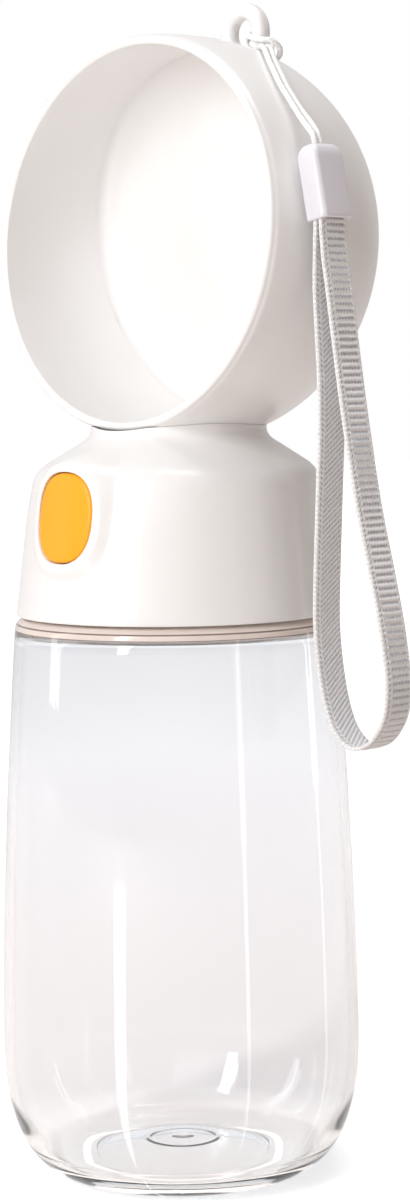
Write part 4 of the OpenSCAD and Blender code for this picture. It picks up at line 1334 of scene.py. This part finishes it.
# ------------------------------------------------------------ the lanyard
@dataclass
class Lanyard:
    """The cord, its ferrule and the webbing loop.

    The ferrule's axis runs from its foot, at the webbing, to its top. A selvedge is the
    plain strip along an edge of the webbing.
    """

    ferrule_material: bpy.types.Material
    cord_d: float = 1.1
    cord_sides: int = 16
    strands: int = 8
    strand_pitch: float = 1.5
    ferrule_top: Point = (40.8, -0.8, 203.5)
    ferrule_foot: Point = (43.8, -0.8, 188.5)
    ferrule_w: float = 8.2
    ferrule_t: float = 5.2
    ferrule_len: float = 14.3
    ferrule_corner: float = 1.15
    ferrule_round: float = 2.6
    webbing_w: float = 7.2
    webbing_t: float = 0.9
    rib_h: float = 0.1
    rib_pitch: float = 1.3
    thread_pitch: float = 0.42
    selvedge_front: float = 1.7
    selvedge_rear: float = 0.8
    selvedge_round: float = 0.4
    selvedge_swell: float = 1.06

    def __post_init__(self) -> None:
        """Work out the two centrelines, in mm, and how long they are."""
        self.line = resample(smooth_route(np.array(CORD_ROUTE), 10), 560)
        self.length = float(run(self.line)[-1])
        self.loop = resample(smooth_route(np.array(WEBBING_ROUTE), 16), 1000)
        self.strip = np.insert(self.loop, 1, self.ferrule_top[1], axis=1)
        self.strip_length = float(run(self.loop)[-1])

    def cord_material(self) -> bpy.types.Material:
        """White braided cord: the higher of two sines, which cross along and round the tube.

        Returns:
            The material.
        """
        n = Nodes(bpy.data.materials.new("white_cord"))
        along, around = n.uv()
        along, around = n.times(along, 1 / self.strand_pitch), n.times(around, self.strands / 2)
        left, right = (n.math("SINE", n.times(n.math(crossing, along, around), FULL))
                       for crossing in ("ADD", "SUBTRACT"))
        weave = n.math("MAXIMUM", left, right)
        colour = n.mix(n.times(n.plus(weave, 1.0), 0.5), linear("#F0EFED"), linear("#FFFFFF"))
        return n.principled(Base_Color=colour, Roughness=0.6, Normal=n.bump(weave, 0.02, 0.4),
                            Sheen_Weight=0.3)

    def webbing_material(self, weave: Weave) -> bpy.types.Material:
        """Woven webbing: a sine of ribs plus a sine of threads plus fine fuzz.

        Args:
            weave: which side it is.

        Returns:
            The material.
        """
        n = Nodes(bpy.data.materials.new(weave.name))
        along, across = n.uv()
        lean = n.times(across, weave.slant / self.webbing_w)
        rib = n.math("SINE", n.times(n.plus(n.math("DIVIDE", along, weave.pitch), lean), FULL))
        thread = n.math("SINE", n.times(across, FULL / self.thread_pitch))
        fuzz = n.noise(n.add("TexCoord").outputs["Object"], 0.35, 3.0)
        level = n.plus(n.plus(n.times(rib, 0.5), n.times(thread, 0.32)),
                       n.times(n.math("SUBTRACT", fuzz, 0.5), 1.3))
        colour = n.mix(n.ramp(level, -0.7, 0.08), linear(weave.dark), linear(weave.light))
        if weave.stitched:
            row = n.math("COMPARE", across, -self.webbing_w / 2 + 0.9, 0.22)
            stitch = n.math("GREATER_THAN", n.math("SINE", n.times(n.plus(along, across), FULL)), 0.1)
            colour = n.mix(n.times(row, stitch), colour, linear("#B4B1BA"))
        return n.principled(Base_Color=colour, Roughness=0.82, Normal=n.bump(level, 0.2, 0.7),
                            Sheen_Weight=0.8, Specular_IOR_Level=0.25)

    def cord(self) -> bpy.types.Object:
        """Make the doubled cord as one tube, a circle carried along its line without twist.

        Returns:
            The piece.
        """
        tangent = directions(self.line)
        across = np.zeros_like(self.line)
        side = np.array([0.0, 1.0, 0.0])
        for i, along in enumerate(tangent):
            side = side - along * (side @ along)
            side /= np.linalg.norm(side)
            across[i] = side
        up = np.cross(tangent, across)
        angles = np.arange(self.cord_sides + 1) * FULL / self.cord_sides
        rings = self.line[:, None] + self.cord_d / 2 * (
            np.cos(angles)[:, None] * across[:, None] + np.sin(angles)[:, None] * up[:, None])
        uv = np.stack(np.broadcast_arrays(run(self.line)[:, None], angles / FULL), axis=2)
        mesh = Mesh()
        mesh.grid(rings, wrap=False, uv=uv)
        mesh.fan(rings[0][:-1], self.line[0])
        mesh.fan(rings[-1][:-1], self.line[-1])
        piece = mesh.build("cord_white", [self.cord_material()], keep_uv=True)
        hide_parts("lanyard_cord")
        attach(piece, "lanyard")
        return piece

    def ferrule_ring(self, shrink: float, height: float) -> np.ndarray:
        """A rectangle with round corners across the ferrule's axis.

        Args:
            shrink: how far inside the ferrule's side.
            height: how far above its foot.

        Returns:
            Its points.
        """
        axis = np.subtract(self.ferrule_top, self.ferrule_foot)
        axis /= np.linalg.norm(axis)
        wide = np.array([0.0, 1.0, 0.0])
        thin = np.cross(wide, axis)
        angles = turns(96)
        c, s = np.cos(angles), np.sin(angles)
        r = max(0.5, self.ferrule_corner - shrink * 0.3)
        y = np.sign(c) * (self.ferrule_w / 2 - shrink - r) + r * c
        x = np.sign(s) * (self.ferrule_t / 2 - shrink - r) + r * s
        return self.ferrule_foot + height * axis + y[:, None] * wide + x[:, None] * thin

    def ferrule(self) -> bpy.types.Object:
        """Make the ferrule between cord and webbing: hollow foot, straight side, round top.

        Returns:
            The piece.
        """
        top, fillet = self.ferrule_len, self.ferrule_round
        rows = [(1.0, 6.0), (1.0, 0.3), (0.75, 0.02), (0.3, 0.0), (0.08, 0.12), (0.0, 0.4)]
        rows += [(0.0, h) for h in np.linspace(1.0, top - fillet, 14)]
        rows += [(1.75 * (1 - math.cos(a)), top - fillet + fillet * math.sin(a))
                 for a in np.linspace(0.12, math.pi / 2, 14)]
        rows += [(1.9, top), (2.0, top - 0.25), (2.05, top - 2.5)]
        rings = np.array([self.ferrule_ring(shrink, height) for shrink, height in rows])
        mesh = Mesh()
        mesh.grid(rings)
        mesh.caps(rings)
        piece = mesh.build("ferrule_white", [self.ferrule_material], sharp=50)
        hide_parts("lanyard_ferrule")
        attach(piece, "lanyard")
        return piece

    def webbing(self) -> bpy.types.Object:
        """Make the webbing loop: its section carried along its line, with the face raised
        by a sine of ribs, a plain back and rolled selvedges.

        Returns:
            The piece.
        """
        tangent = directions(self.loop)
        outward = np.stack([-tangent[:, 1], tangent[:, 0]], axis=1)
        outward *= np.sign(((self.loop - self.loop.mean(axis=0)) * outward).sum(axis=1).mean())
        half = self.webbing_w / 2
        face = np.linspace(-half + self.selvedge_front, half - self.selvedge_rear, 14)
        roll = np.linspace(0, math.pi, 9)
        edge = half - self.selvedge_round + self.selvedge_round * np.sin(roll)
        y = np.concatenate([face, edge, face[::-1], -edge])
        swell = self.selvedge_swell * np.cos(roll)
        side = np.concatenate([np.ones(len(face)), swell, -np.ones(len(face)), -swell])
        length = run(self.loop)[:, None]
        rib = np.where(np.arange(len(y)) < len(face), self.rib_h * np.sin(FULL * length / self.rib_pitch), 0)
        lift = side * (self.webbing_t / 2 - self.rib_h) + rib
        rows = np.stack(np.broadcast_arrays(
            self.loop[:, :1] + outward[:, :1] * lift, self.ferrule_top[1] + y,
            self.loop[:, 1:] + outward[:, 1:] * lift), axis=2)
        uv = np.stack(np.broadcast_arrays(length, y), axis=2)
        mesh = Mesh()
        first = 0
        for count, slot in ((len(face), Side.FACE), (len(roll), Side.EDGE), (len(face), Side.BACK),
                            (len(roll), Side.EDGE)):
            span = slice(max(0, first - 1), first + count)
            mesh.grid(rows[:, span], wrap=False, uv=uv[:, span], slot=slot)
            first += count
        mesh.grid(rows[:, [-1, 0]], wrap=False, uv=uv[:, [-1, 0]], slot=Side.EDGE)
        mesh.caps(rows)
        materials = [self.webbing_material(weave) for weave in WEAVES]
        piece = mesh.build("webbing_grey", materials, sharp=60, keep_uv=True)
        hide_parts("lanyard_webbing")
        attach(piece, "lanyard")
        return piece

    def build(self) -> list[bpy.types.Object]:
        """Returns:
            The pieces.
        """
        cord = self.cord()
        ferrule = self.ferrule()
        webbing = self.webbing()
        return [cord, ferrule, webbing]


def dress_hidden() -> None:
    """Give every CAD node that stays its own moulded or drawn finish."""
    for finish, names in HIDDEN:
        material = moulded(finish)
        for name in names:
            for slot in bpy.data.objects[name].material_slots:
                slot.material = material
            log.info("%s: %s", name, finish.name)


# ------------------------------------------------------------ stage
def heading(azimuth: float, elevation: float = 0.0) -> Point:
    """The direction at an azimuth, counted from the front towards +X, and an elevation.

    Args:
        azimuth: in radians.
        elevation: in radians.

    Returns:
        A vector of length 1.
    """
    level = math.cos(elevation)
    return (math.sin(azimuth) * level, -math.cos(azimuth) * level, math.sin(elevation))


@dataclass(frozen=True)
class Lamp:
    """A soft rectangular light that looks at a point on the object.

    Args:
        name: the light's name.
        azimuth: where it hangs, in degrees from the front towards +X.
        elevation: how high it hangs, in degrees.
        distance: from what it looks at.
        width: its width.
        height: its height.
        power: in watts.
        colour: its sRGB colour.
        aim_z: the height that it looks at.
        mirrored: how strongly the floor glows with this lamp's painted reflection, which the clear bottle
            shows.
        mirror_end: where that image ends, from the bottle's side.
    """

    name: str
    azimuth: float
    elevation: float
    distance: float
    width: float
    height: float
    power: float
    colour: str = "#FFFFFF"
    aim_z: float = 130.0
    mirrored: float = 0.0
    mirror_end: float = 3000.0

    def place(self) -> bpy.types.Object:
        """Hang the light.

        Returns:
            The light.
        """
        data = bpy.data.lights.new(self.name, "AREA")
        data.shape = "RECTANGLE"
        data.size, data.size_y = self.width * MM, self.height * MM
        data.energy = self.power
        data.color = linear(self.colour)[:3]
        towards = Vector(heading(math.radians(self.azimuth), math.radians(self.elevation)))
        lamp = bpy.data.objects.new(self.name, data)
        lamp.location = Vector((0, 0, self.aim_z)) * MM + towards * self.distance * MM
        lamp.rotation_euler = towards.to_track_quat("Z", "Y").to_euler()
        bpy.context.scene.collection.objects.link(lamp)
        return lamp


LAMPS = (
    Lamp("key", 7, 24, 900, 130, 600, 4.2, "#FBFDFF", mirrored=5.0, mirror_end=600),
    Lamp("front", 26, 28, 1000, 900, 700, 1.3),
    Lamp("left", -48, 18, 1000, 120, 800, 1.0),
    Lamp("right", 89, 4, 900, 40, 700, 0.24, "#FFEBDD", mirrored=3.5),
    Lamp("back", 152, 12, 900, 36, 800, 0.3, mirrored=2.0),
    Lamp("top", 150, 80, 800, 400, 400, 2.6),
)


@dataclass(frozen=True)
class Camera:
    """The camera at the photograph's angle: 46 degrees to the right of the front.

    Args:
        azimuth: where it stands, in degrees from the front towards +X.
        distance: from the bottle's axis.
        height: above the floor.
        yaw: how far it looks past the axis, in degrees.
        pitch: how far it looks up.
        roll: how far it is turned about its view.
        focal: its focal length, in heights of the picture.
        sensor: the height of its sensor.
    """

    azimuth: float = VIEW_AZIMUTH
    distance: float = 550.0
    height: float = 162.0
    yaw: float = -0.62
    pitch: float = -4.89
    roll: float = -0.77
    focal: float = 2755 / 1200
    sensor: float = 36.0

    def place(self) -> bpy.types.Object:
        """Set the camera up and use it.

        Returns:
            The camera.
        """
        azimuth, pitch, roll = map(math.radians, (self.azimuth, self.pitch, self.roll))
        back = heading(azimuth + math.radians(self.yaw), -pitch)
        forward = -Vector(back)
        right = forward.cross(Vector((0, 0, 1))).normalized()
        up = right.cross(forward)
        right, up = (right * math.cos(roll) + up * math.sin(roll),
                     up * math.cos(roll) - right * math.sin(roll))
        data = bpy.data.cameras.new("camera")
        data.sensor_fit = "VERTICAL"
        data.sensor_height = self.sensor
        data.lens = self.focal * self.sensor
        data.clip_start, data.clip_end = 0.01, 50
        camera = bpy.data.objects.new("camera", data)
        stand = (Vector(heading(azimuth)) * self.distance + Vector((0, 0, self.height))) * MM
        camera.matrix_world = Matrix.Translation(stand) @ Matrix((right, up, -forward)).transposed().to_4x4()
        bpy.context.scene.collection.objects.link(camera)
        bpy.context.scene.camera = camera
        return camera


@dataclass(frozen=True)
class Floor:
    """The plain pale floor. It shines by itself to the camera, through the glass and in mirrors, where it
    also carries painted reflections of the lamps.

    Args:
        radius: its radius, in metres.
        corners: how many corners it has.
        near_far: the distances from the middle, in metres, between which the glow changes.
        under: the distances, in metres, at which it starts to be and is quite under the base.
        seen: its glow to the camera, near and far.
        through: its glow through the glass, near and far.
        base: how much more it glows under the base, through the glass: a painted pool of light that stands
            for the light the bottle lets through.
        mirrored: its glow in mirrors.
        cool: the glow's linear colour.
        warm: the linear colour of that painted pool of light under the base.
    """

    radius: float = 4.0
    corners: int = 96
    near_far: tuple[float, float] = (0.1, 0.6)
    under: tuple[float, float] = (0.06, 0.03)
    seen: tuple[float, float] = (0.6, 0.98)
    through: tuple[float, float] = (0.245, 0.575)
    base: float = 0.33
    mirrored: float = 0.5
    cool: tuple[float, ...] = (0.9, 0.955, 1, 1)
    warm: tuple[float, ...] = (0.98, 0.93, 0.88, 1)

    def painted_lamp_reflections(self, n: Nodes, place: Socket) -> Socket:
        """Painted reflections of the tall lamps: the floor glows for mirror rays where a glossy table would
        mirror them, as seen in the clear bottle.

        Each image is a wedge on the floor. It starts at the bottle's side, half way round
        between lamp and camera, and points at the lamp.

        Args:
            n: the floor's node tree.
            place: the point on the floor, in metres.

        Returns:
            How strongly it shines there.
        """
        total = None
        for lamp in (lamp for lamp in LAMPS if lamp.mirrored):
            azimuth = math.radians(lamp.azimuth)
            foot = Vector(heading(math.radians((lamp.azimuth + VIEW_AZIMUTH) / 2))) * BELLY_R * MM
            away = n.add("VectorMath", {"operation": "SUBTRACT"}, Vector=place)
            away.inputs[1].default_value = foot
            out = n.dot(away.outputs["Vector"], heading(azimuth))
            off = n.dot(away.outputs["Vector"], heading(azimuth + math.pi / 2))
            spread = n.math("DIVIDE", n.math("ABSOLUTE", off), n.math("MAXIMUM", out, 0.001))
            edge, end = lamp.width / 2 / lamp.distance, lamp.mirror_end * MM
            wedge = n.times(n.ramp(spread, edge * 1.15, edge * 0.85), n.ramp(out, end * 1.1, end * 0.9))
            shine = n.times(wedge, lamp.mirrored)
            total = shine if total is None else n.plus(total, shine)
        return total

    def material(self) -> bpy.types.Material:
        """Pale matt paint that takes the shadow, plus the glow.

        Returns:
            The material.
        """
        n = Nodes(bpy.data.materials.new("floor_white"))
        place = n.add("TexCoord").outputs["Object"]
        colour = n.mix(n.times(n.noise(place, 40, 2.0), 0.2), linear("#EFE6E0"), linear("#EAE0D9"))
        paint = n.add("BsdfPrincipled", Base_Color=colour, Roughness=0.9, Specular_IOR_Level=0.1)
        rays = n.add("LightPath").outputs
        spread = n.add("VectorMath", {"operation": "LENGTH"}, Vector=place).outputs["Value"]
        far = n.ramp(spread, *self.near_far)
        through = rays["Is Transmission Ray"]
        mirrored = n.times(rays["Is Glossy Ray"], n.math("SUBTRACT", 1.0, through))
        # Painted light: for rays through the glass the floor glows more under the base, standing in for the
        # light that passes through the bottle.
        under = n.times(through, n.ramp(spread, *self.under))
        seen = ((rays["Is Camera Ray"], self.seen), (through, self.through))
        glow = n.plus(*(n.times(ray, n.plus(n.times(far, distant - near), near))
                        for ray, (near, distant) in seen))
        glow = n.plus(glow, n.times(under, self.base))
        # Mirror rays see the floor glow evenly, plus the painted reflections of the lamps.
        glow = n.plus(glow, n.times(mirrored, n.plus(self.painted_lamp_reflections(n, place), self.mirrored)))
        light = n.add("Emission", Color=n.mix(under, self.cool, self.warm), Strength=glow)
        both = n.add("AddShader")
        n.feed(both.inputs[0], paint.outputs["BSDF"])
        n.feed(both.inputs[1], light.outputs["Emission"])
        return n.surface(both.outputs["Shader"])

    def build(self) -> bpy.types.Object:
        """Make the floor.

        Returns:
            The floor.
        """
        turn = turns(self.corners)
        rim = np.stack([self.radius * np.cos(turn), self.radius * np.sin(turn), 0 * turn], axis=1)
        mesh = bpy.data.meshes.new("floor")
        mesh.from_pydata(rim.tolist(), [], [list(range(self.corners))])
        floor = placed("floor", mesh, [self.material()])
        return floor


@dataclass(frozen=True)
class Room:
    """White to the camera and through the clear bottle; as a light, dim and brown on one side.

    Args:
        azimuth: the middle of the brown side, in degrees from the front towards +X.
        edge: the cosines between which the room turns brown.
        dim: how bright the rest of the room is.
        brown: how bright the brown side is.
        mirrored: the share of white in mirrors, (at the dim side, at the brown one).
    """

    azimuth: float = 118.0
    edge: tuple[float, float] = (0.2, 0.9)
    dim: float = 0.385
    brown: float = 0.10
    mirrored: tuple[float, float] = (0.55, 0.05)

    def build(self) -> None:
        """Make the world and use it."""
        n = Nodes(bpy.data.worlds.new("studio"))
        facing = n.dot(n.add("TexCoord").outputs["Generated"], heading(math.radians(self.azimuth)))
        dark = n.ramp(facing, *self.edge, "SMOOTHSTEP")
        colour = n.mix(dark, linear("#FFF8F5", self.dim), linear("#C48A66", self.brown))
        dim = n.add("Background", Color=colour)
        bright = n.add("Background", Color=(1, 1, 1, 1))
        rays = n.add("LightPath").outputs
        seen = n.math("MAXIMUM", rays["Is Camera Ray"], rays["Is Transmission Ray"])
        lit = n.add("MapRange", Value=dark, To_Min=self.mirrored[0], To_Max=self.mirrored[1])
        part = n.times(rays["Is Glossy Ray"], lit.outputs["Result"])
        mix = n.add("MixShader", Fac=n.math("MAXIMUM", seen, part))
        n.feed(mix.inputs[1], dim.outputs[0])
        n.feed(mix.inputs[2], bright.outputs[0])
        bpy.context.scene.world = n.surface(mix.outputs[0])


def main() -> None:
    """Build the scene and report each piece."""
    logging.basicConfig(level=logging.INFO)
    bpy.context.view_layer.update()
    bpy.context.scene.view_settings.view_transform = "Standard"
    Camera().place()
    white = moulded(WHITE)
    bowl = Bowl(white)
    head = Head(white, bowl)
    for part in (Lanyard(moulded(FERRULE_PAINTED_SHADE)), Bottle(moulded(CLEAR)), head, bowl,
                 Button(moulded(YELLOW), head)):
        for piece in part.build():
            log.info("%s: %d faces", piece.name, len(piece.data.polygons))
    dress_hidden()
    Floor().build()
    Room().build()
    for lamp in LAMPS:
        lamp.place()


if __name__ == "__main__":
    main()
